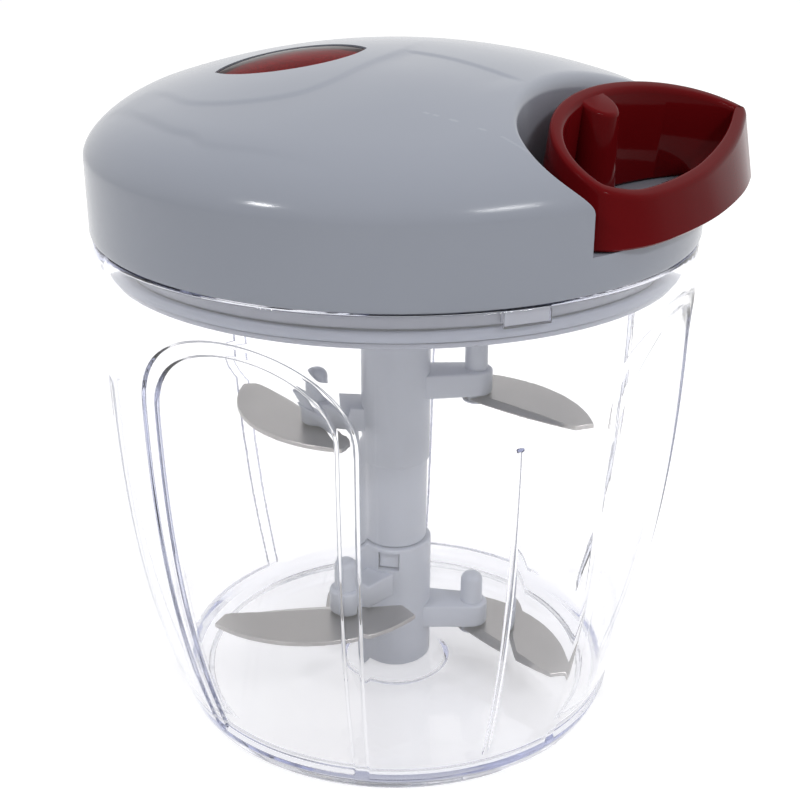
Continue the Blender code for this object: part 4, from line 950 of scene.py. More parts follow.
@dataclass
class Fitter:
    """Makes each finish once, puts finished pieces on their bodies, and reports each."""

    count: int = 0
    made: dict[str, bpy.types.Material] = field(default_factory=dict)

    def paint(self, piece: bpy.types.Object, finish: Finish) -> None:
        """Give a piece one finish.

        Args:
            piece: The piece.
            finish: What it is finished in.
        """
        if finish.name not in self.made:
            self.made[finish.name] = finish.make()
        piece.data.materials.clear()
        piece.data.materials.append(self.made[finish.name])

    def place(self, piece: bpy.types.Object, body: Body, finish: Finish, *nodes: str) -> None:
        """Dress a piece, let it ride on a body and stand for CAD nodes.

        Args:
            piece: The piece.
            body: The body it moves with.
            finish: What it is finished in.
            *nodes: The CAD nodes it stands for.
        """
        self.paint(piece, finish)
        for face in piece.data.polygons:
            face.material_index = 0
        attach(piece, body.value)
        if nodes:
            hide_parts(*nodes)
        self.count += 1
        LOG.info("piece %s on %s, %d faces", piece.name, body.value, len(piece.data.polygons))

    def dress(self, finish: Finish, *nodes: str) -> None:
        """Finish CAD nodes that stay as they are.

        Args:
            finish: What they are finished in.
            *nodes: Their names.
        """
        for name in nodes:
            self.paint(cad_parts[name], finish)
            LOG.info("finish %s on %s", finish.name, name)


@dataclass
class Assembly:
    """What every sub-assembly has: the fitter that dresses and places its pieces."""

    fitter: Fitter


@dataclass
class Bowl(Assembly):
    """The clear fluted bowl with its foot ring, arched petals, inner ribs and key slots."""

    rim_radius: float = 0.0646
    base_radius: float = 0.0500
    height: float = 0.1129
    wall: float = 0.0024
    floor: float = 0.0026
    curve_power: float = 2.8
    foot_height: float = 0.0012
    foot_width: float = 0.0040
    pad_radius: float = 0.0120
    floor_fillet: float = 0.0046
    bead: float = 0.0030
    bead_edge: float = 0.0003
    rim_inside: Point2 = (0.0012, 0.0016)
    petals: int = 4
    petal_phase: float = radians(7.0)
    petal_half: float = radians(22.5)
    petal_span: float = 0.0236
    petal_steps: Point2 = (0.0005, 0.0006)
    petal_border: float = 0.0036
    petal_slope: float = 0.0009
    petal_bottom: float = 0.0040
    petal_spring: float = 0.0860
    petal_top: float = 0.1050
    rib_offset: float = radians(-40.0)
    rib_height: float = 0.0010
    rib_width: float = 0.0017
    rib_bottom: float = 0.0080
    rib_top: float = 0.0850
    rib_ends: Point2 = (0.0012, 0.004)
    rib_lines: tuple[float, ...] = (0.35, 0.65, 0.85, 0.97, 1.02)
    rib_room: float = 0.0004
    rib_close: float = 0.0013
    slot_half: float = radians(4.3)
    slot_bottom: float = 0.1093
    slot_outer: float = 0.0635
    slot_room: float = 0.004
    boss_radius: float = 0.0058
    boss_height: float = 0.0050
    boss_surround: float = 0.004
    pin_hole: float = 0.0025
    pin_hole_floor: float = 0.0028
    plain_lines: int = 41
    level_lines: int = 30
    least_angle: float = 0.0007

    @property
    def pitch(self) -> float:
        """Return the angle from one petal to the next."""
        return 2 * pi / self.petals

    def radius(self, z: float) -> float:
        """Return the outer radius at a height, before the petals."""
        share = min(max(z / self.petal_top, 0.0), 1.0)
        return self.base_radius + (self.rim_radius - self.base_radius) * (1 - (1 - share) ** self.curve_power)

    def from_middle(self, angle: float, offset: float = 0.0) -> float:
        """Return how far an angle lies from the nearest petal's middle, or from a line beside it."""
        return (angle - self.petal_phase - offset + self.pitch / 2) % self.pitch - self.pitch / 2

    def sink(self, angle: float, z: float) -> float:
        """Find how far the petals press the outer wall in.

        Args:
            angle: The angle round the bowl.
            z: The height.

        Returns:
            How far the wall lies inside the plain bowl there.
        """
        offset = abs(self.from_middle(angle)) / self.petal_half
        rise = max(0.0, (z - self.petal_spring) / (self.petal_top - self.petal_spring))
        inside = 1 - sqrt(offset * offset + rise * rise)
        if inside <= 0:
            return 0.0
        distance = inside * self.petal_span
        first = self.petal_steps[0] * eased(distance / self.petal_slope)
        second = self.petal_steps[1] * eased((distance - self.petal_border) / self.petal_slope)
        return (first + second) * eased((z - self.petal_bottom) / self.petal_slope / 2)

    def edge_shares(self) -> list[float]:
        """Find where mesh lines run beside a petal's edge.

        Returns:
            How far in from the edge each runs, as shares of the petal's half width.
        """
        step = [self.petal_slope * k / 8 for k in range(9)]
        border = [self.petal_slope + (self.petal_border - self.petal_slope) * k / 5 for k in range(1, 5)]
        second = [self.petal_border + distance for distance in step]
        return [distance / self.petal_span for distance in (*step, *border, *second)]

    def rib(self, angle: float, z: float) -> float:
        """Find how far an inner rib stands out.

        Args:
            angle: The angle round the bowl.
            z: The height.

        Returns:
            How far the inner wall stands in there.
        """
        across = abs(self.from_middle(angle, self.rib_offset)) * self.rim_radius / (self.rib_width / 2)
        if across >= 1 or z > self.rib_top:
            return 0.0
        upper, lower = self.rib_ends
        ends = eased((self.rib_top - z) / upper) * eased((z - self.rib_bottom) / lower)
        return self.rib_height * sqrt(1 - across * across) * ends

    def angles(self) -> list[float]:
        """Set the columns' angles, close together at petal edges and ribs.

        Returns:
            The angles in order.
        """
        half, rib = self.petal_half, self.rib_width / 2 / self.rim_radius
        found = []
        for k in range(self.petals):
            middle = self.petal_phase + k * self.pitch
            found += [middle + half * share for share in np.linspace(-1, 1, self.plain_lines)]
            found += [middle + way * half * (1 - share) for way in (-1, 1) for share in self.edge_shares()]
            plain = self.pitch - 2 * half
            found += [middle + half + plain * share for share in np.linspace(0, 1, self.plain_lines)]
            centre = middle + self.pitch + self.rib_offset
            found += [centre + rib * way * share for way in (-1, 1) for share in (0, *self.rib_lines)]
        found = sorted(angle % (2 * pi) for angle in found)
        kept = found[:1]
        for angle in found[1:]:
            if angle - kept[-1] > self.least_angle:
                kept.append(angle)
        return kept

    def outside(self, angle: float) -> list[Point2]:
        """Draw the section under the foot and up the outer wall.

        Args:
            angle: The angle round the bowl.

        Returns:
            The points up to the bead of the rim.
        """
        offset = min(abs(self.from_middle(angle)) / self.petal_half, 1.0)
        foot_inner = self.base_radius - self.foot_width
        base = rounded_profile(
            [
                (self.pad_radius, 0.0, 0.0),
                (self.pad_radius + self.foot_height, self.foot_height, 0.0004),
                (foot_inner - self.foot_height, self.foot_height, 0.0004),
                (foot_inner, 0.0, 0.0005),
                (self.base_radius, 0.0, 0.0007),
                (self.radius(self.petal_bottom), self.petal_bottom, 0.0),
            ]
        )
        levels = [self.petal_bottom + 2 * self.petal_slope * k / 6 for k in range(7)]
        follow = []
        for share in reversed(self.edge_shares()):
            left = (1 - share) ** 2 - offset * offset
            reach = sqrt(left) if left > 0 else -sqrt(-left)
            follow.append(self.petal_spring + (self.petal_top - self.petal_spring) * reach)
        count = self.level_lines
        levels += [levels[-1] + (follow[0] - levels[-1]) * k / count for k in range(1, count)]
        levels += follow
        bead = self.height - self.bead
        levels += [follow[-1] + (bead - follow[-1]) * k / 6 for k in range(1, 7)]
        return [(0.0, 0.0), *base[:-1], *((self.radius(z) - self.sink(angle, z), z) for z in levels)]

    def inside(self, angle: float) -> list[Point2]:
        """Draw the section down the inner wall and over the floor.

        Args:
            angle: The angle round the bowl.

        Returns:
            The points from below the rim to the axis.
        """
        floor_top = self.foot_height + self.floor
        ceiling, ground = self.height - self.rim_inside[1], floor_top + self.floor_fillet
        levels = [ceiling + (self.rib_top + self.rib_room - ceiling) * k / 6 for k in range(7)]
        levels += [self.rib_top - self.rib_close * k / 4 for k in range(5)]
        start, count = levels[-1], self.level_lines
        levels += [start + (ground - start) * k / count for k in range(1, count + 1)]
        points = [(self.radius(z) - self.wall - self.rib(angle, z), z) for z in levels]
        corner, fillet = self.radius(ground) - self.wall, self.floor_fillet
        turns = [pi / 2 * k / 7 for k in range(1, 8)]
        points += [(corner - fillet * (1 - cos(turn)), ground - fillet * sin(turn)) for turn in turns]
        boss = rounded_profile(
            [
                (self.boss_radius + self.boss_surround, floor_top, 0.0),
                (self.boss_radius, floor_top, 0.0006),
                (self.boss_radius, floor_top + self.boss_height, 0.0004),
                (self.pin_hole, floor_top + self.boss_height, 0.0),
                (self.pin_hole, self.pin_hole_floor, 0.0),
            ]
        )
        return [*points, *boss, (0.0, self.pin_hole_floor)]

    def profile(self, angle: float) -> list[Point2]:
        """Draw the whole section: up the outside, over the rim, down the inside.

        Args:
            angle: The angle round the bowl.

        Returns:
            The points from axis to axis.
        """
        inner = self.rim_radius - self.wall
        rim = rounded_profile(
            [
                (self.rim_radius, self.height - self.bead + self.bead_edge, 0.0),
                (self.rim_radius, self.height, 0.0007),
                (inner, self.height, 0.0004),
                (inner, self.height - self.rim_inside[0], 0.0),
            ]
        )
        return [*self.outside(angle), *rim, *self.inside(angle)]

    def build(self) -> None:
        """Build and dress the bowl, and finish the pin it carries."""
        bowl = mesh_piece("bowl_wall", *revolve(self.profile, self.angles()))
        tools = []
        inner = self.rim_radius - self.wall - self.slot_room
        for k in range(self.petals):
            middle = self.petal_phase + self.rib_offset + 2 * pi * k / self.petals
            start, end = middle - self.slot_half, middle + self.slot_half
            outline = arc((0, 0), self.slot_outer, start, end, 12) + arc((0, 0), inner, end, start, 12)
            tools.append(prism(outline, self.slot_bottom, self.height + self.slot_room))
        combine(bowl, tools)
        self.fitter.place(bowl, Body.BOWL, CLEAR, "bowl")
        self.fitter.dress(BRIGHT_STEEL, "centre_pin")


@dataclass(frozen=True)
class Crease:
    """A soft step moulded into the dome along a curve, low on its right and fading away from it."""

    points: tuple[Point2, ...]
    depth: float
    start_share: float = 0.1
    end_share: float = 0.2
    edge: float = 0.0020
    fade: float = 0.011
    per_span: int = 6

    def drop(self, places: np.ndarray) -> np.ndarray:
        """Find how far the dome is lowered.

        Args:
            places: Plan points, one a row.

        Returns:
            The drop at each.
        """
        line = smooth_line(turned_outline(self.points, SEEN_TURN), self.per_span)
        start, span = line[:-1], line[1:] - line[:-1]
        length2 = (span**2).sum(1)
        away = places[:, None, :] - start[None]
        share = np.clip((away * span[None]).sum(2) / length2, 0, 1)
        gap = away - share[..., None] * span[None]
        distance = np.sqrt((gap**2).sum(2))
        best = distance.argmin(1)
        rows = np.arange(len(places))
        cross = span[best, 0] * away[rows, best, 1] - span[best, 1] * away[rows, best, 0]
        signed = -np.sign(cross) * distance[rows, best]
        run = (best + share[rows, best]) / len(span)
        t = np.clip(signed / self.edge + 0.5, 0, 1)
        step = t * t * (3 - 2 * t) * np.exp(-((np.maximum(signed, 0) / self.fade) ** 2))
        ends = np.clip(run / self.start_share, 0, 1) * np.clip((1 - run) / self.end_share, 0, 1)
        return self.depth * step * ends


LEFT_CREASE = Crease(
    (
        (-0.0575, -0.0080), (-0.0533, -0.0156), (-0.0431, -0.0328), (-0.0374, -0.0390),
        (-0.0338, -0.0443), (-0.0221, -0.0509), (-0.0110, -0.0564), (-0.0039, -0.0581),
    ),
    0.00036, 0.05, 0.5,
)
BACK_CREASE = Crease(
    (
        (-0.0500, -0.0060), (-0.0448, -0.0155), (-0.0396, -0.0241), (-0.0309, -0.0295), (-0.0204, -0.0306),
        (-0.0129, -0.0263), (-0.0059, -0.0169), (0.0016, -0.0048), (0.0060, 0.0080),
    ),
    0.00030,
)
RIGHT_CREASE = Crease(
    ((0.0016, -0.0048), (0.0098, -0.0099), (0.0178, -0.0161), (0.0249, -0.0217)), 0.00032, end_share=0.15
)


@dataclass
class Lid(Assembly):
    """The lid: domed housing with the handle's pocket, badge, bottom cover, plug ring and seal."""

    radius: float = 0.0650
    bottom: float = 0.1133
    skirt_top: float = 0.1290
    shoulder_width: float = 0.0145
    shoulder_rise: float = 0.0062
    dome_rise: float = 0.0140
    wall: float = 0.0022
    foot_edge: float = 0.0006
    skirt_line: float = 0.0024
    roof_gap: float = 0.0006
    pocket_angle: float = radians(10.46)
    pocket_turn: float = radians(-1.1)
    pocket_centre: float = 0.0538
    pocket_depth: float = 0.0183
    pocket_half: float = 0.0377
    pocket_floor: float = 0.1205
    lip_crisp: float = 0.0005
    lip_soft: float = 0.0036
    lip_soft_side: float = radians(136.0)
    lip_beyond: float = 0.8 * pi
    badge_length: float = 0.0305
    badge_width: float = 0.0222
    badge_place: Point2 = (-0.0149, -0.0160)
    badge_angle: float = radians(40.7)
    badge_thickness: float = 0.0012
    badge_crown: float = 0.0005
    badge_sink: float = 0.0002
    badge_edge: float = 0.0003
    under_shares: tuple[float, ...] = (0.02, 0.35, 0.7, 1.0)
    crown_rows: int = 10
    crown_span: float = 9.3
    seat_gap: float = 0.0002
    seat_room: float = 0.00015
    seat_cut: float = 0.004
    seat_edge: float = 0.0001
    plug_radius: float = 0.0606
    plug_wall: float = 0.0022
    plug_bottom: float = 0.1055
    bearing: Point2 = (0.0083, 0.0105)
    bearing_bottom: float = 0.1040
    groove: Point2 = (0.1066, 0.1094)
    groove_depth: float = 0.0006
    cover_bottom: float = 0.1136
    cover_top: float = 0.1163
    cover_radius: float = 0.0623
    seal: tuple[Point3, ...] = (
        (0.0603, 0.1091, 0.0002), (0.0603, 0.1069, 0.0002), (0.06126, 0.1069, 0.0003),
        (0.0617, 0.1080, 0.0006), (0.06126, 0.1091, 0.0003),
    )
    cord_line: Point2 = (0.0097, 0.1280)
    eyelet_seat: float = 0.03376
    eyelet_radii: Point2 = (0.0027, 0.0039)
    eyelet_depth: float = 0.0027
    hole_span: Point2 = (0.020, 0.008)
    screw_angles: tuple[float, ...] = (radians(80.0), radians(150.0), radians(220.0), radians(292.0))
    screw_circle: float = 0.0540
    screw_radii: Point2 = (0.0029, 0.0015)
    screw_sink: float = 0.0015
    screw_cut: float = 0.003
    lug_half: float = radians(4.0)
    lug_phase: float = radians(-33.0)
    lug_levels: Point2 = (0.1096, 0.1130)
    lug_reach: Point2 = (0.0026, 0.0012)
    lug_edge: float = 0.0003
    columns: int = 420
    lip_steps: int = 8
    field_rows: int = 130
    edge_rows: int = 16
    edge_most: float = 0.6
    edge_part: float = 0.8
    wall_steps: int = 6
    round_steps: int = 200
    crease_rim: Point2 = (0.004, 0.006)
    creases: tuple[Crease, ...] = (LEFT_CREASE, BACK_CREASE, RIGHT_CREASE)

    def dome(self, x: float, y: float) -> float:
        """Find the plain outer height.

        Args:
            x: The place in plan.
            y: The place in plan.

        Returns:
            The height of the dome there.
        """
        r = min(hypot(x, y), self.radius)
        flat = self.radius - self.shoulder_width
        shoulder = self.shoulder_rise
        if r > flat:
            share = min((r - flat) / self.shoulder_width, 1.0)
            shoulder *= sqrt(max(0.0, 1 - share * share))
        return self.skirt_top + shoulder + self.dome_rise * (1 - (r / self.radius) ** 2)

    def lip(self, around: float) -> float:
        """Return the size of the pocket's rounded lip at an angle round the pocket."""
        softness = (0.5 + 0.5 * cos(around - self.lip_soft_side)) ** 2
        return self.lip_crisp + (self.lip_soft - self.lip_crisp) * softness

    def pocket_point(self, around: float, turn: float) -> Point2:
        """Find a point of the pocket's lip in plan.

        Args:
            around: The angle round the pocket.
            turn: 0 at the wall, a right angle at the dome.

        Returns:
            The point.
        """
        grow = self.lip(around) * (1 - cos(turn))
        centre = turned(self.pocket_centre, 0.0, self.pocket_angle)
        x, y = (self.pocket_depth + grow) * cos(around), (self.pocket_half + grow) * sin(around)
        return turned(x, y, self.pocket_turn, centre)

    def crossing(self, turn: float, side: float) -> float:
        """Find where the pocket's lip meets the lid's outer circle.

        Args:
            turn: 0 at the wall, a right angle at the dome.
            side: 1 for one end of the lip, -1 for the other.

        Returns:
            The angle round the pocket.
        """
        inner, outer = side * self.lip_beyond, 0.0
        for _ in range(50):
            middle = (inner + outer) / 2
            if hypot(*self.pocket_point(middle, turn)) > self.radius:
                outer = middle
            else:
                inner = middle
        return inner

    def lip_ring(self, turn: float) -> list[Point3]:
        """Draw one line of the lip, from notch corner to notch corner.

        Args:
            turn: 0 at the wall, a right angle at the dome.

        Returns:
            Plan points, each with how far it lies below the dome.
        """
        start, end = self.crossing(turn, 1.0), self.crossing(turn, -1.0) + 2 * pi
        ring = []
        for k in range(self.columns + 1):
            around = start + (end - start) * k / self.columns
            ring.append((*self.pocket_point(around, turn), self.lip(around) * (1 - sin(turn))))
        return ring

    def plan_rows(self) -> list[list[Point3]]:
        """Draw the dome's mesh lines, from the pocket's wall out to the lid's edge.

        Returns:
            Rows of plan points, each with how far it lies below the dome.
        """
        rows = [self.lip_ring(pi / 2 * k / self.lip_steps) for k in range(self.lip_steps + 1)]
        lip = rows[-1]
        start = atan2(lip[0][1], lip[0][0])
        end = atan2(lip[-1][1], lip[-1][0]) + 2 * pi
        for row in range(1, self.field_rows + self.edge_rows + 1):
            line = []
            for k, (sx, sy, _) in enumerate(lip):
                angle = start + (end - start) * k / self.columns
                ex, ey = self.radius * cos(angle), self.radius * sin(angle)
                length = max(hypot(ex - sx, ey - sy), LEAST_LENGTH)
                edge = min(self.edge_most, self.shoulder_width * self.edge_part / length)
                if row <= self.field_rows:
                    share = (1 - edge) * row / self.field_rows
                else:
                    share = 1 - edge * (1 - cos(pi / 2 * (1 - (row - self.field_rows) / self.edge_rows)))
                line.append((sx + (ex - sx) * share, sy + (ey - sy) * share, 0.0))
            rows.append(line)
        return rows

    def creased(self, flat: np.ndarray) -> np.ndarray:
        """Return how far all creases lower the dome at plan points, fading out before the rim."""
        inside = self.radius - self.crease_rim[0] - np.hypot(flat[:, 0], flat[:, 1])
        return sum(crease.drop(flat) for crease in self.creases) * np.clip(inside / self.crease_rim[1], 0, 1)

    def skin(self) -> Solid:
        """Build the closed outer form: dome, lip, pocket, skirt and the underside of the edge.

        Returns:
            The points and the faces.
        """
        rows = self.plan_rows()
        places = [place for row in rows for place in row]
        drops = self.creased(np.array([(x, y) for x, y, _ in places]))
        verts = [(x, y, self.dome(x, y) - low - drop) for (x, y, low), drop in zip(places, drops)]
        width = self.columns + 1
        wall_top, rim = verts[:width], verts[-width:]
        side_a = [verts[row * width] for row in range(self.lip_steps + 1)]
        side_b = [verts[row * width + self.columns] for row in range(self.lip_steps + 1)]
        top_line = side_a[:-1] + rim + list(reversed(side_b[:-1]))
        (bx, by, _), (ax, ay, _) = side_b[0], side_a[0]
        notch = [
            (self.radius * cos(a), self.radius * sin(a), self.pocket_floor)
            for a in np.linspace(atan2(by, bx), atan2(ay, ax), 41)
        ][1:-1]
        floor = [(x, y, self.pocket_floor) for x, y, _ in wall_top] + notch
        around = [(x, y) for x, y, _ in top_line] + [(x, y) for x, y, _ in notch]
        return together(
            (verts, grid_faces(len(rows), width)),
            self.drop_lines(wall_top),
            self.drop_lines(top_line),
            (floor, [tuple(range(len(floor)))]),
            self.lower_edge(around),
        )

    def drop_lines(self, top: Sequence[Point3]) -> Solid:
        """Build an upright wall from a line of points down to the pocket's floor.

        Args:
            top: The line.

        Returns:
            The points and the faces.
        """
        steps = self.wall_steps
        verts = [(x, y, z + (self.pocket_floor - z) * k / steps) for x, y, z in top for k in range(steps + 1)]
        return verts, grid_faces(len(top), steps + 1)

    def lower_edge(self, around: Sequence[Point2]) -> Solid:
        """Build the skirt below the pocket's floor, its rounded edge and the inside, closed at the top.

        Args:
            around: The skirt's outline in plan.

        Returns:
            The points and the faces.
        """
        edge, ground = self.foot_edge, self.bottom
        shares = [(0.0, self.pocket_floor)]
        shares += [(0.0, self.pocket_floor - self.skirt_line), (0.0, ground + self.skirt_line)]
        shares += [(edge * across, ground + edge * down) for across, down in quarter(4)]
        shares += [(self.wall - edge / 2, ground), (self.wall, ground + edge / 2)]
        shares.append((self.wall, self.cover_top + self.roof_gap))
        rings = []
        for depth, z in shares:
            scale = (self.radius - depth) / self.radius
            rings.append([(x * scale, y * scale, z) for x, y in around])
        verts, faces = loft(rings, capped=False)
        faces.append(tuple(range(len(verts) - len(around), len(verts))))
        return verts, faces

    def lens(self, grow: float, steps: int) -> list[Point2]:
        """Draw the badge's pointed oval in plan.

        Args:
            grow: How much wider than the badge it is.
            steps: Points along each side.

        Returns:
            The outline.
        """
        half, bulge = self.badge_length / 2 + 2 * grow, self.badge_width / 2 + grow
        r = (half * half + bulge * bulge) / (2 * bulge)
        sweep = atan2(half, r - bulge)
        upper = arc((0.0, bulge - r), r, pi / 2 - sweep, pi / 2 + sweep, steps)
        lower = arc((0.0, r - bulge), r, -pi / 2 - sweep, -pi / 2 + sweep, steps)
        return turned_outline(upper[:-1] + lower[:-1], self.badge_angle, self.badge_place)

    def patch(
        self, grow: float, top: float, bottom: float, crown: float, edge: float, steps: int = 40
    ) -> Solid:
        """Build a plate in the badge's outline that follows the dome.

        Args:
            grow: How much wider than the badge it is.
            top: Height of its top over the dome.
            bottom: Height of its underside over the dome.
            crown: How much its middle rises.
            edge: Size of the rounded upper edge.
            steps: Points along each side.

        Returns:
            The points and the faces.
        """
        cx, cy = self.badge_place
        outline = self.lens(grow, steps)
        half_width = self.badge_width / 2

        def ring(share: float, level: float, lift: float = 0.0) -> list[Point3]:
            """Return the outline drawn in to a share of its size, at a height over the dome."""
            scaled = [(cx + (x - cx) * share, cy + (y - cy) * share) for x, y in outline]
            return [(x, y, self.dome(x, y) + level + lift) for x, y in scaled]

        rings = [ring(share, bottom) for share in self.under_shares]
        for across, down in quarter(4)[:-1]:
            rings.append(ring(1 - edge * across / half_width, top, -edge * down))
        inner = 1 - edge / half_width
        for k in range(self.crown_rows):
            share = inner * (1 - k / self.crown_span)
            rings.append(ring(share, top, crown * (1 - (share / inner) ** 2)))
        return loft(rings)

    def build_housing(self) -> None:
        """Build the domed housing with its pocket, and cut the badge's seat and the cord's hole."""
        housing = mesh_piece("lid_shell", *self.skin())
        y, z = self.cord_line
        recess = self.badge_sink + self.badge_thickness + self.seat_gap
        hole, wide = self.eyelet_radii
        front = (self.eyelet_seat + self.hole_span[1], y, z)
        tools = [
            self.patch(self.seat_room, self.seat_cut, -recess, 0.0, self.seat_edge),
            tube([(self.hole_span[0], y, z), front], hole, 32),
            tube([(self.eyelet_seat - self.eyelet_depth, y, z), front], wide, 36),
        ]
        combine(housing, tools)
        self.fitter.place(housing, Body.LID, DOME, "top_housing")

    def build_badge(self) -> None:
        """Build the clear red insert, bare, with a crowned top."""
        sink = self.badge_sink
        plate = self.patch(0.0, -sink, -sink - self.badge_thickness, self.badge_crown, self.badge_edge, 60)
        self.fitter.place(mesh_piece("badge_lens", *plate), Body.LID, RED_CLEAR, "badge_insert")

    def cover_section(self) -> list[Point2]:
        """Draw the section of cover, bearing tube and plug ring.

        Returns:
            The closed section's points.
        """
        (inner, bearing), (low, high) = self.bearing, self.groove
        plug, plug_inner, groove = self.plug_radius, self.plug_radius - self.plug_wall, self.groove_depth
        return rounded_profile(
            [
                (inner, self.cover_top, 0.0),
                (inner, self.bearing_bottom, 0.0003),
                (bearing, self.bearing_bottom, 0.0003),
                (bearing, self.cover_bottom, 0.0008),
                (plug_inner, self.cover_bottom, 0.0008),
                (plug_inner, self.plug_bottom, 0.0005),
                (plug, self.plug_bottom, 0.0005),
                (plug, low, 0.0001),
                (plug - groove, low, 0.0001),
                (plug - groove, high, 0.0001),
                (plug, high, 0.0001),
                (plug, self.cover_bottom, 0.0004),
                (self.cover_radius, self.cover_bottom, 0.0003),
                (self.cover_radius, self.cover_top, 0.0003),
            ]
        )

    def build_cover(self) -> None:
        """Build the bottom cover with plug ring, key lugs and bearing tube."""
        cover = mesh_piece("lid_cover", *revolve(self.cover_section(), round_angles(self.round_steps)))
        tools = []
        under, over = self.cover_bottom - self.screw_cut, self.cover_top + self.screw_cut
        seat, (wide, narrow) = self.cover_bottom + self.screw_sink, self.screw_radii
        for angle in self.screw_angles:
            x, y = turned(self.screw_circle, 0.0, angle)
            tools.append(tube([(x, y, under), (x, y, seat)], wide, 28))
            tools.append(tube([(x, y, under), (x, y, over)], narrow, 20))
        combine(cover, tools)
        lugs = []
        for k in range(4):
            middle = self.lug_phase + k * pi / 2
            start, end = middle - self.lug_half, middle + self.lug_half
            outline = arc((0, 0), self.plug_radius + self.lug_reach[0], start, end, 10)
            outline += arc((0, 0), self.plug_radius - self.lug_reach[1], end, start, 10)
            lugs.append(slab(outline, *self.lug_levels, self.lug_edge))
        self.fitter.place(mesh_piece("lid_lugs", *together(*lugs)), Body.LID, COVER)
        self.fitter.place(cover, Body.LID, COVER, "bottom_cover")

    def build(self) -> None:
        """Build the lid's pieces and finish those that stay as they are."""
        self.build_housing()
        self.build_badge()
        self.build_cover()
        seal = mesh_piece("seal_lip", *revolve(rounded_profile(self.seal), round_angles(self.round_steps)))
        self.fitter.place(seal, Body.LID, SILICONE, "seal_ring")
        self.fitter.dress(ACETAL, "cord_eyelet", "spring_cup")
        screws = [f"housing_screw_{k + 1}" for k in range(len(self.screw_angles))]
        self.fitter.dress(BRIGHT_STEEL, *screws, "reel_axle", "recoil_spring")


@dataclass
class ReelAndDrive(Assembly):
    """The cord reel with its winding, the pawls and the drive socket."""

    winding_radius: float = 0.0097
    cord_radius: float = 0.00072
    low: float = 0.12455
    turns: int = 5
    turn_steps: int = 48
    pitch: float = 0.0015

    def build(self) -> None:
        """Wind the cord on the drum and finish the pieces round it."""
        steps, radius = self.turn_steps, self.winding_radius
        line = []
        for k in range(self.turns * steps + 1):
            angle = 2 * pi * k / steps
            line.append((radius * cos(angle), radius * sin(angle), self.low + self.pitch * k / steps))
        winding = mesh_piece("cord_turns", *tube(line, self.cord_radius, 10))
        self.fitter.place(winding, Body.REEL, BRAID, "cord_winding")
        self.fitter.dress(ACETAL, "cord_reel", "drive_socket")
        self.fitter.dress(BRIGHT_STEEL, "reel_washer", "drive_pawl_1", "drive_pawl_2")


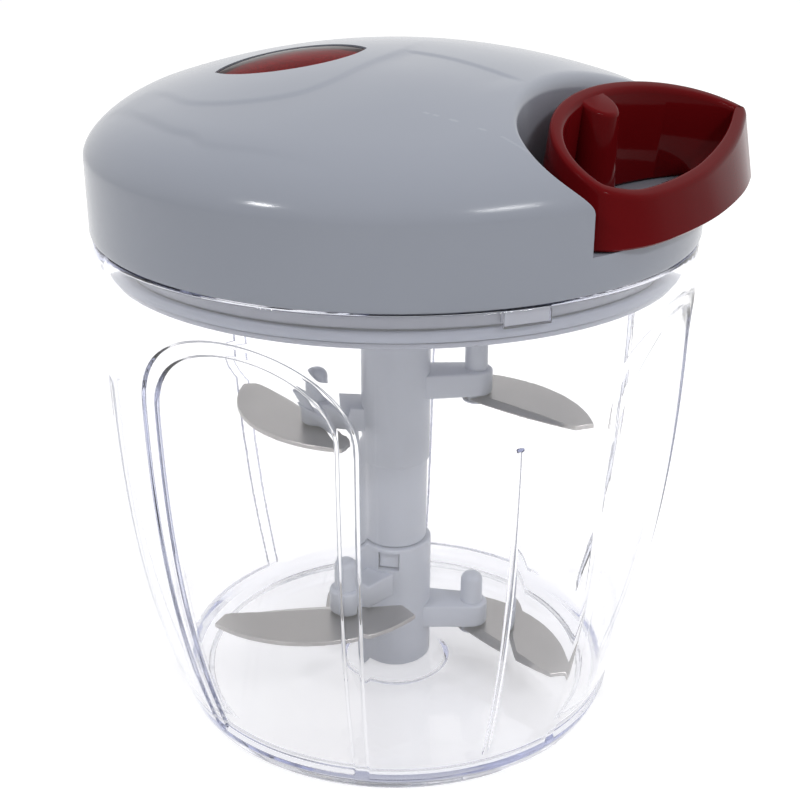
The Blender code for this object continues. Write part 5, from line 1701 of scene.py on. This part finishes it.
@dataclass
class Handle(Assembly):
    """The ring handle with its cord boss, the knot in it and the free stretch of cord."""

    centre: Point2 = (0.0604, 0.0097)
    near_tip: Point2 = (-0.0036, -0.0322)
    outer_side: tuple[Point2, ...] = (
        (0.0011, -0.0305), (0.0059, -0.0229), (0.0075, -0.0127), (0.0079, -0.0042),
        (0.0076, 0.0051), (0.0057, 0.0186), (0.0030, 0.0298),
    )
    far_tip: Point2 = (-0.0008, 0.0409)
    inner_depth: float = 0.0222
    inner_power: float = 2.02
    inner_skew: float = -0.097
    inner_steps: int = 24
    bottom: float = 0.1208
    top: float = 0.13235
    top_slope: float = -0.489
    top_lean: float = 0.045
    wall: float = 0.0029
    flare: float = 0.0022
    edge: float = 0.0009
    edge_drop: float = 1.3
    foot_edge: float = 0.0004
    tuck: float = 0.00003
    round_steps: int = 5
    per_span: int = 6
    boss_radius: float = 0.0047
    boss_reach: float = 0.0187
    boss_back: float = 0.0008
    boss_drop: float = 0.0003
    boss_edge: float = 0.0008
    boss_sides: int = 72
    boss_lift: float = 0.00005
    knot_reach: float = 0.0177
    knot_bore: float = 0.0027
    bore_roof: float = 0.0030
    bore_foot: float = 0.004
    knot_size: float = 0.00052
    knot_cord: float = 0.0006
    knot_rise: float = 1.6
    cord_hole: float = 0.0013
    cord_height: float = 0.1280
    cord_radius: float = 0.00075
    cord_start: float = 0.0063
    cord_end: float = 0.0025
    stretch: Point2 = (0.0330, 0.0365)

    @property
    def knot(self) -> Vector:
        """Return the middle of the knot."""
        return Vector((self.centre[0] - self.knot_reach, self.centre[1], self.cord_height))

    def outline(self) -> list[Point2]:
        """Draw the ring's foot in its own plan, softened at both tips.

        Returns:
            The closed outline.
        """
        near, far = Vector(self.near_tip), Vector(self.far_tip)
        outline = [tuple(point) for point in smooth_line([self.near_tip, *self.outer_side, self.far_tip], 3)]
        for k in range(1, self.inner_steps):
            share = k / self.inner_steps
            bow = sin(pi * (share + self.inner_skew * share * (1 - share))) ** (2 / self.inner_power)
            base = far + (near - far) * (0.5 - 0.5 * cos(pi * share))
            outline.append((base.x - self.inner_depth * bow, base.y))
        return soften(outline)

    def top_at(self, x: float, y: float) -> float:
        """Return the height of the ring's top at a point of its own plan."""
        return self.top + self.top_slope * x + self.top_lean * y

    def ring(self) -> Solid:
        """Build the ring: flared wall, rounded upper edges, lightly rounded lower ones.

        Returns:
            The points and the faces.
        """
        plan = self.outline()
        wall, flare, edge, small = self.wall, self.flare, self.edge, self.foot_edge
        upper = [(edge * across, edge * down * self.edge_drop) for across, down in quarter(self.round_steps)]
        rows = [(small, False, 0.0), (0.0, False, small)]
        rows += [(flare + across, True, down) for across, down in upper]
        rows += [(flare + wall - across, True, down) for across, down in reversed(upper)]
        rows += [(wall, False, small), (wall - small, False, 0.0)]
        rings = []
        for depth, high, offset in rows:
            loop = []
            for x, y in inset(plan, depth + self.tuck):
                z = self.top_at(x, y) - offset if high else self.bottom + offset
                loop.append((self.centre[0] + x, self.centre[1] + y, z))
            rings.append(smooth_loop(loop, self.per_span))
        return loft(rings, closed=True)

    def boss(self) -> Solid:
        """Build the boss: a post whose rounded top slopes with the ring, flat against the leaning wall.

        Returns:
            The points and the faces.
        """
        cx, cy = self.centre
        radius, edge = self.boss_radius, self.boss_edge
        levels = [(radius, 0.0, 0.0)]
        levels += [(radius - edge * across, edge * down, 1.0) for across, down in quarter(self.round_steps)]
        foot = min(x for x, _ in self.outline()) + cx + self.boss_back
        rings = []
        for size, below, share in levels:
            ring = []
            for x, y in arc((cx - self.boss_reach, cy), size, 0.0, 2 * pi, self.boss_sides)[:-1]:
                x = max(x, foot + self.flare * share)
                high = self.top_at(x - cx, y - cy) - self.boss_drop - below
                ring.append((x, y, high if share else self.bottom + self.boss_lift))
            rings.append(ring)
        return loft(rings)

    def build_ring(self) -> None:
        """Build the ring with its boss and bore."""
        ring = mesh_piece("ring_handle", *self.ring())
        x, y, z = self.knot
        roof = self.top_at(x - self.centre[0], 0.0) - self.boss_drop - self.bore_roof
        combine(ring, [self.boss()], Boolean.JOIN)
        bore = tube([(x, y, self.bottom - self.bore_foot), (x, y, roof)], self.knot_bore, 36)
        hole = tube([(x - self.inner_depth, y, z), (x, y, z)], self.cord_hole, 24)
        combine(ring, [bore, hole])
        self.fitter.place(ring, Body.HANDLE, RED, "pull_handle")

    def build_knot(self) -> None:
        """Build the knot, a closed trefoil of cord."""
        loop = []
        for t in round_angles(72):
            offset = Vector((sin(t) + 2 * sin(2 * t), cos(t) - 2 * cos(2 * t), -self.knot_rise * sin(3 * t)))
            loop.append(tuple(self.knot + offset * self.knot_size))
        knot = mesh_piece("cord_end_knot", *tube(loop, self.knot_cord, 10, closed=True))
        self.fitter.place(knot, Body.HANDLE, BRAID, "cord_knot")

    def build_cord(self) -> None:
        """Build the cord that runs out between lid and handle."""
        start, end = self.stretch
        x, y, z = self.knot
        marks = [*np.linspace(self.cord_start, start, 10), *np.linspace(start, end, 120)[1:]]
        marks += [*np.linspace(end, x - self.cord_end, 6)[1:]]
        cord = mesh_piece("free_cord", *tube([(mark, y, z) for mark in marks], self.cord_radius, 12))
        self.fitter.paint(cord, BRAID)
        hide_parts("pull_cord")
        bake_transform(cord)
        LOG.info("piece %s between %s and %s", cord.name, Body.LID.value, Body.HANDLE.value)

    def build(self) -> None:
        """Build the handle's pieces."""
        self.build_ring()
        self.build_knot()
        self.build_cord()


@dataclass
class BladeColumn(Assembly):
    """The two carriers snapped together and the five sickle blades on their pegged arms."""

    lower_radius: float = 0.0084
    waist_radius: float = 0.0073
    upper_radius: float = 0.0079
    lower_bottom: float = 0.0042
    lower_top: float = 0.0355
    waist_top: float = 0.0562
    upper_top: float = 0.0998
    head_top: float = 0.1100
    head_flats: float = 0.0090
    head_root: float = 0.0046
    head_edge: float = 0.0006
    head_round: float = 0.0005
    head_tail: float = 0.001
    spigot_radius: float = 0.00615
    spigot_bottom: float = 0.0297
    boss_room: float = 0.0063
    socket_roof: float = 0.0093
    pin_bore: float = 0.0025
    pin_roof: float = 0.0253
    window: Point2 = (0.0050, 0.0046)
    window_angle: float = radians(-66.0)
    window_cut: float = 0.004
    nose_reach: float = 0.0012
    nose_edge: float = 0.0002
    arm_reach: float = 0.0184
    arm_height: float = 0.0058
    arm_width: float = 0.0094
    arm_tip: float = 0.0038
    arm_edge: float = 0.0006
    arm_room: float = 0.0005
    peg_radius: float = 0.0026
    peg_height: float = 0.0074
    peg_crown: float = 0.0018
    peg_flat: float = 0.25
    rivet: tuple[Point2, ...] = ((0.0, 0.0008), (0.0022, 0.0008), (0.0029, 0.0004), (0.0031, 0.0), (0.0, 0.0))
    stud_half: float = 0.0019
    stud_tail: float = 0.0004
    blade_thickness: float = 0.0010
    gap: float = 0.0003
    arms: tuple[Point2, ...] = (
        (radians(40.3), 0.0745),
        (radians(206.3), 0.0663),
        (radians(30.3), 0.0157),
        (radians(267.3), 0.0265),
        (radians(144.0), 0.0102),
    )
    upper_arms: int = 2
    tail: Point2 = (0.0100, 0.0136)
    belly: Point2 = (0.0334, 0.0033)
    tip: Point2 = (0.0414, -0.0197)
    hollow: Point2 = (0.0232, -0.0092)
    tip_width: float = 0.0042
    tail_width: float = 0.0048
    tip_lean: float = 0.25
    tail_lean: float = 0.3
    back_steps: int = 44
    edge_steps: int = 40
    grind_run: int = 10
    hole_cut: float = 0.002
    bevel: float = 0.0022
    blade_edge: float = 0.0001
    blade_sharp: float = 20.0
    round_sides: int = 96
    peg_sides: int = 32

    def block(self, reach: float, half: float, angle: float) -> list[Point2]:
        """Return the plan of a bar from the axis out to a reach, turned to an angle."""
        return turned_outline([(0.0, -half), (reach, -half), (reach, half), (0.0, half)], angle)

    def square(self, half: float, angle: float) -> list[Point2]:
        """Return the plan of a square about an arm's peg, turned to the arm's angle."""
        return turned_outline([(self.arm_reach + x * half, y * half) for x, y in SQUARE], angle)

    def arm(self, angle: float, height: float, root: float) -> list[Solid]:
        """Build one arm.

        Args:
            angle: Where it points.
            height: The height of its middle.
            root: How far from the axis it starts.

        Returns:
            Its bar, peg, stud and rivet.
        """
        half = self.arm_width / 2
        tip = arc((self.arm_reach, 0.0), self.arm_tip, -pi / 2, pi / 2, 20)
        plan = [(root, -half), *tip, (root, half)]
        low, high = height - self.arm_height / 2, height + self.arm_height / 2
        place = turned(self.arm_reach, 0.0, angle)
        top, flat = high + self.peg_height, self.peg_flat
        peg = [(0.0, height), (self.peg_radius, height)]
        for turn in (pi / 2 * k / 6 for k in range(7)):
            narrow = self.peg_radius * (flat + (1 - flat) * cos(turn))
            peg.append((narrow, top - self.peg_crown * (1 - sin(turn))))
        peg.append((0.0, top))
        under = low - self.gap - self.blade_thickness - self.gap
        rivet = [(r, under - below) for r, below in self.rivet]
        return [
            slab(turned_outline(plan, angle), low, high, self.arm_edge),
            revolve(peg, round_angles(self.peg_sides), place),
            prism(self.square(self.stud_half, angle), under - self.stud_tail, height),
            revolve(rivet, round_angles(self.peg_sides), place),
        ]

    def build_lower(self) -> None:
        """Build the lower carrier with its latch window and three arms."""
        r, spigot = self.lower_radius, self.spigot_radius + self.gap
        section = rounded_profile(
            [
                (self.pin_bore, self.pin_roof, 0.0),
                (self.pin_bore, self.socket_roof, 0.0002),
                (self.boss_room, self.socket_roof, 0.0),
                (self.boss_room, self.lower_bottom, 0.0002),
                (r, self.lower_bottom, 0.0006),
                (r, self.lower_top, 0.0004),
                (spigot, self.lower_top, 0.0002),
                (spigot, self.spigot_bottom, 0.0),
            ]
        )
        section = [(0.0, self.pin_roof), *section, (0.0, self.spigot_bottom)]
        carrier = mesh_piece("lower_column", *revolve(section, round_angles(self.round_sides)))
        width, height = self.window
        low = self.spigot_bottom + self.gap
        window = self.block(r + self.window_cut, width / 2, self.window_angle)
        combine(carrier, [prism(window, low, low + height)])
        parts = []
        for angle, level in self.arms[self.upper_arms :]:
            parts += self.arm(angle, level, self.boss_room + self.arm_room)
        self.fitter.place(mesh_piece("lower_arms", *together(*parts)), Body.BLADES, SATIN)
        self.fitter.place(carrier, Body.BLADES, SATIN, "lower_carrier")

    def build_upper(self) -> None:
        """Build the upper carrier: spigot, waist, column, hexagonal head, latch nose and two arms."""
        joint, start = self.lower_top + self.gap, self.spigot_bottom + self.gap
        body = rounded_profile(
            [
                (self.spigot_radius, start, 0.0003),
                (self.spigot_radius, joint, 0.0),
                (self.waist_radius, joint, 0.0003),
                (self.waist_radius, self.waist_top, 0.0004),
                (self.upper_radius, self.waist_top, 0.0004),
                (self.upper_radius, self.upper_top, 0.0005),
                (self.head_root, self.upper_top, 0.0),
            ]
        )
        section = [(0.0, start), *body, (0.0, self.upper_top)]
        carrier = mesh_piece("upper_column", *revolve(section, round_angles(self.round_sides)))
        sixth = pi / 3
        corner = self.head_flats / 2 / cos(sixth / 2)
        head = [(corner * cos(a), corner * sin(a), self.head_edge) for a in round_angles(6, sixth / 2)]
        foot = self.upper_top - self.head_tail
        parts = [slab(rounded_profile(head, 4), foot, self.head_top, self.head_round)]
        for angle, level in self.arms[: self.upper_arms]:
            parts += self.arm(angle, level, self.waist_radius / 2)
        width, height = self.window
        nose = self.block(self.spigot_radius + self.nose_reach, width / 2 - self.gap, self.window_angle)
        low = start + 2 * self.gap
        parts.append(slab(nose, low, low + height - 3 * self.gap, self.nose_edge))
        self.fitter.place(mesh_piece("upper_arms", *together(*parts)), Body.BLADES, SATIN)
        self.fitter.place(carrier, Body.BLADES, SATIN, "upper_carrier")

    def blade_plans(self) -> tuple[list[Point2], list[Point2]]:
        """Draw a blade in the plan of its arm.

        Returns:
            The outline of its underside, and that of its top, ground back along the hollow side.
        """
        back = arc_through(self.tail, self.belly, self.tip, self.back_steps)
        tip_inner = (self.tip[0] - self.tip_width, self.tip[1] - self.tip_width * self.tip_lean)
        tail_inner = (self.tail[0] - self.tail_width * self.tail_lean, self.tail[1] - self.tail_width)
        edge = arc_through(tail_inner, self.hollow, tip_inner, self.edge_steps)
        flat = back + list(reversed(edge))
        ground = []
        for k, point in enumerate(flat):
            here = Vector(point)
            if k >= len(back):
                near = min((Vector(p) for p in back), key=lambda p: (p - here).length)
                ends = min(k - len(back), len(flat) - 1 - k) / self.grind_run
                here = here + (near - here).normalized() * self.bevel * min(1.0, ends)
            ground.append((here.x, here.y))
        return flat, ground

    def build_blades(self) -> None:
        """Build the five blades, each ground to an edge along its hollow side."""
        flat, ground = self.blade_plans()
        edge = self.blade_edge
        for number, (angle, height) in enumerate(self.arms, start=1):
            top = height - self.arm_height / 2 - self.gap
            low = top - self.blade_thickness
            lower, upper = turned_outline(flat, angle), turned_outline(ground, angle)
            crown = turned_outline(drawn_in(ground, edge), angle)
            land = low + self.blade_thickness / 5
            levels = ((lower, low), (lower, land), (upper, top - edge), (crown, top))
            rings = [[(x, y, z) for x, y in plan] for plan, z in levels]
            blade = mesh_piece(f"sickle_{number}", *loft(rings), sharp=self.blade_sharp)
            square = self.square(self.stud_half + self.gap, angle)
            hole = prism(square, low - self.hole_cut, top + self.hole_cut)
            combine(blade, [hole], sharp=self.blade_sharp)
            self.lay_out(blade, angle)
            self.fitter.place(blade, Body.BLADES, BLADE_STEEL, f"blade_{number}")

    def lay_out(self, blade: bpy.types.Object, angle: float) -> None:
        """Give a blade texture places along and across its arm, so the grinding runs across it.

        Args:
            blade: The blade.
            angle: Where its arm points.
        """
        layer = blade.data.uv_layers.new(name="places")
        for loop in blade.data.loops:
            place = blade.data.vertices[loop.vertex_index].co
            layer.data[loop.index].uv = turned(place.x, place.y, -angle)

    def build(self) -> None:
        """Build carriers and blades."""
        self.build_lower()
        self.build_upper()
        self.build_blades()


@dataclass(frozen=True)
class Lamp:
    """A soft lamp that faces the chopper, at angles in degrees counted from the camera's side."""

    name: str
    azimuth: float
    elevation: float
    distance: float
    size: Point2
    power: float
    reflected: bool = True

    def build(self, target: Vector) -> None:
        """Set the lamp.

        Args:
            target: What it faces.
        """
        data = bpy.data.lights.new(self.name, "AREA")
        data.shape = "RECTANGLE"
        data.size, data.size_y = self.size
        data.energy = self.power
        piece = bpy.data.objects.new(self.name, data)
        bpy.context.scene.collection.objects.link(piece)
        around, lift = radians(self.azimuth - 90.0) + SEEN_TURN, radians(self.elevation)
        away = Vector((cos(around) * cos(lift), sin(around) * cos(lift), sin(lift)))
        piece.location = target + away * self.distance
        piece.rotation_euler = (-away).to_track_quat("-Z", "Y").to_euler()
        piece.visible_glossy = self.reflected


@dataclass
class Studio:
    """Camera, floor, background and lamps."""

    focal_pixels: float = 1400.0
    image_pixels: float = 800.0
    sensor: float = 36.0
    clip_start: float = 0.01
    camera_place: Point3 = (0.00027, -0.2942, 0.1952)
    pitch: float = radians(23.12)
    yaw: float = radians(0.138)
    roll: float = radians(0.143)
    target: Point3 = (0.0, 0.0, 0.085)
    bounces: int = 48
    fill: float = 0.62
    fill_span: tuple[float, ...] = (-0.2, 0.9, 0.42, 0.95)
    floor_reach: float = 4.0
    floor_steps: int = 8
    floor_tone: Colour = (0.86, 0.86, 0.86)
    floor_glow: float = 0.49
    lamps: tuple[Lamp, ...] = (
        Lamp("left_softbox", -54.0, 42.0, 0.95, (0.12, 0.06), 1.3),
        Lamp("right_softbox", 44.0, 42.0, 0.95, (0.30, 0.07), 1.8),
        Lamp("top_sheet", 170.0, 72.0, 1.10, (0.90, 0.70), 3.6, reflected=False),
    )

    def build_camera(self) -> None:
        """Set the camera where the picture was taken from."""
        p, w, r = self.pitch, self.yaw, self.roll
        right = Vector((cos(w), -sin(w), 0.0))
        forward = Vector((sin(w) * cos(p), cos(w) * cos(p), -sin(p)))
        up = Vector((sin(w) * sin(p), cos(w) * sin(p), cos(p)))
        across = right * cos(r) + up * sin(r)
        upward = up * cos(r) - right * sin(r)
        axes = Matrix((across, upward, -forward)).transposed().to_4x4()
        data = bpy.data.cameras.new("studio_camera")
        data.sensor_width = self.sensor
        data.lens = self.focal_pixels / self.image_pixels * self.sensor
        data.clip_start = self.clip_start
        camera = bpy.data.objects.new("studio_camera", data)
        bpy.context.scene.collection.objects.link(camera)
        turn = Matrix.Rotation(SEEN_TURN, 4, "Z")
        camera.matrix_world = turn @ Matrix.Translation(Vector(self.camera_place)) @ axes
        bpy.context.scene.camera = camera

    def build_world(self) -> None:
        """Light everything evenly and show white behind it, to the camera and in glass and metal."""
        world = bpy.data.worlds.new("studio_world")
        bpy.context.scene.world = world
        world.use_nodes = True
        world.node_tree.nodes.clear()
        nodes = Nodes(world.node_tree)
        direction = nodes.put("TexCoord").outputs["Generated"]
        height = nodes.put("SeparateXYZ", {"Vector": direction}).outputs["Z"]
        fill = {"Color": nodes.mapped(height, *self.fill_span), "Strength": self.fill}
        shown = {"Color": (*WHITE, 1.0), "Strength": 1.0}
        fill, shown = (nodes.put("Background", look).outputs[0] for look in (fill, shown))
        mix = nodes.put("MixShader", {0: nodes.seen(), 1: fill, 2: shown}).outputs[0]
        nodes.put("OutputWorld", {"Surface": mix})

    def build_floor(self) -> None:
        """Lay a wide pale floor that keeps the shadow."""
        steps = self.floor_steps
        marks = [-self.floor_reach + 2 * self.floor_reach * k / steps for k in range(steps + 1)]
        faces = grid_faces(steps + 1, steps + 1)
        floor = mesh_piece("studio_floor", [(x, y, 0.0) for y in marks for x in marks], faces)
        material = bpy.data.materials.new("pale_floor")
        material.use_nodes = True
        material.node_tree.nodes.clear()
        nodes = Nodes(material.node_tree)
        paint = nodes.put("BsdfDiffuse", {"Color": (*self.floor_tone, 1.0)}).outputs[0]
        strength = nodes.maths("MULTIPLY", nodes.seen(), self.floor_glow)
        glow = nodes.put("Emission", {"Strength": strength}).outputs[0]
        nodes.put("OutputMaterial", {"Surface": nodes.put("AddShader", {0: paint, 1: glow}).outputs[0]})
        floor.data.materials.append(material)

    def build(self) -> None:
        """Build the studio, and let light run far enough through the bowl's many walls."""
        self.build_camera()
        for lamp in self.lamps:
            lamp.build(Vector(self.target))
        self.build_world()
        self.build_floor()
        bpy.context.scene.view_settings.view_transform = "Standard"
        cycles = bpy.context.scene.cycles
        cycles.max_bounces = cycles.transmission_bounces = self.bounces
        cycles.glossy_bounces = cycles.transparent_max_bounces = self.bounces // 2
        cycles.caustics_reflective = False


def main() -> None:
    """Build the studio and every sub-assembly in order."""
    logging.basicConfig(level=logging.INFO, format="%(name)s %(message)s")
    Studio().build()
    fitter = Fitter()
    for kind in (Bowl, Lid, ReelAndDrive, Handle, BladeColumn):
        kind(fitter).build()
        LOG.info("built %s", kind.__name__)
    LOG.info("%d pieces built", fitter.count)


if __name__ == "__main__":
    main()
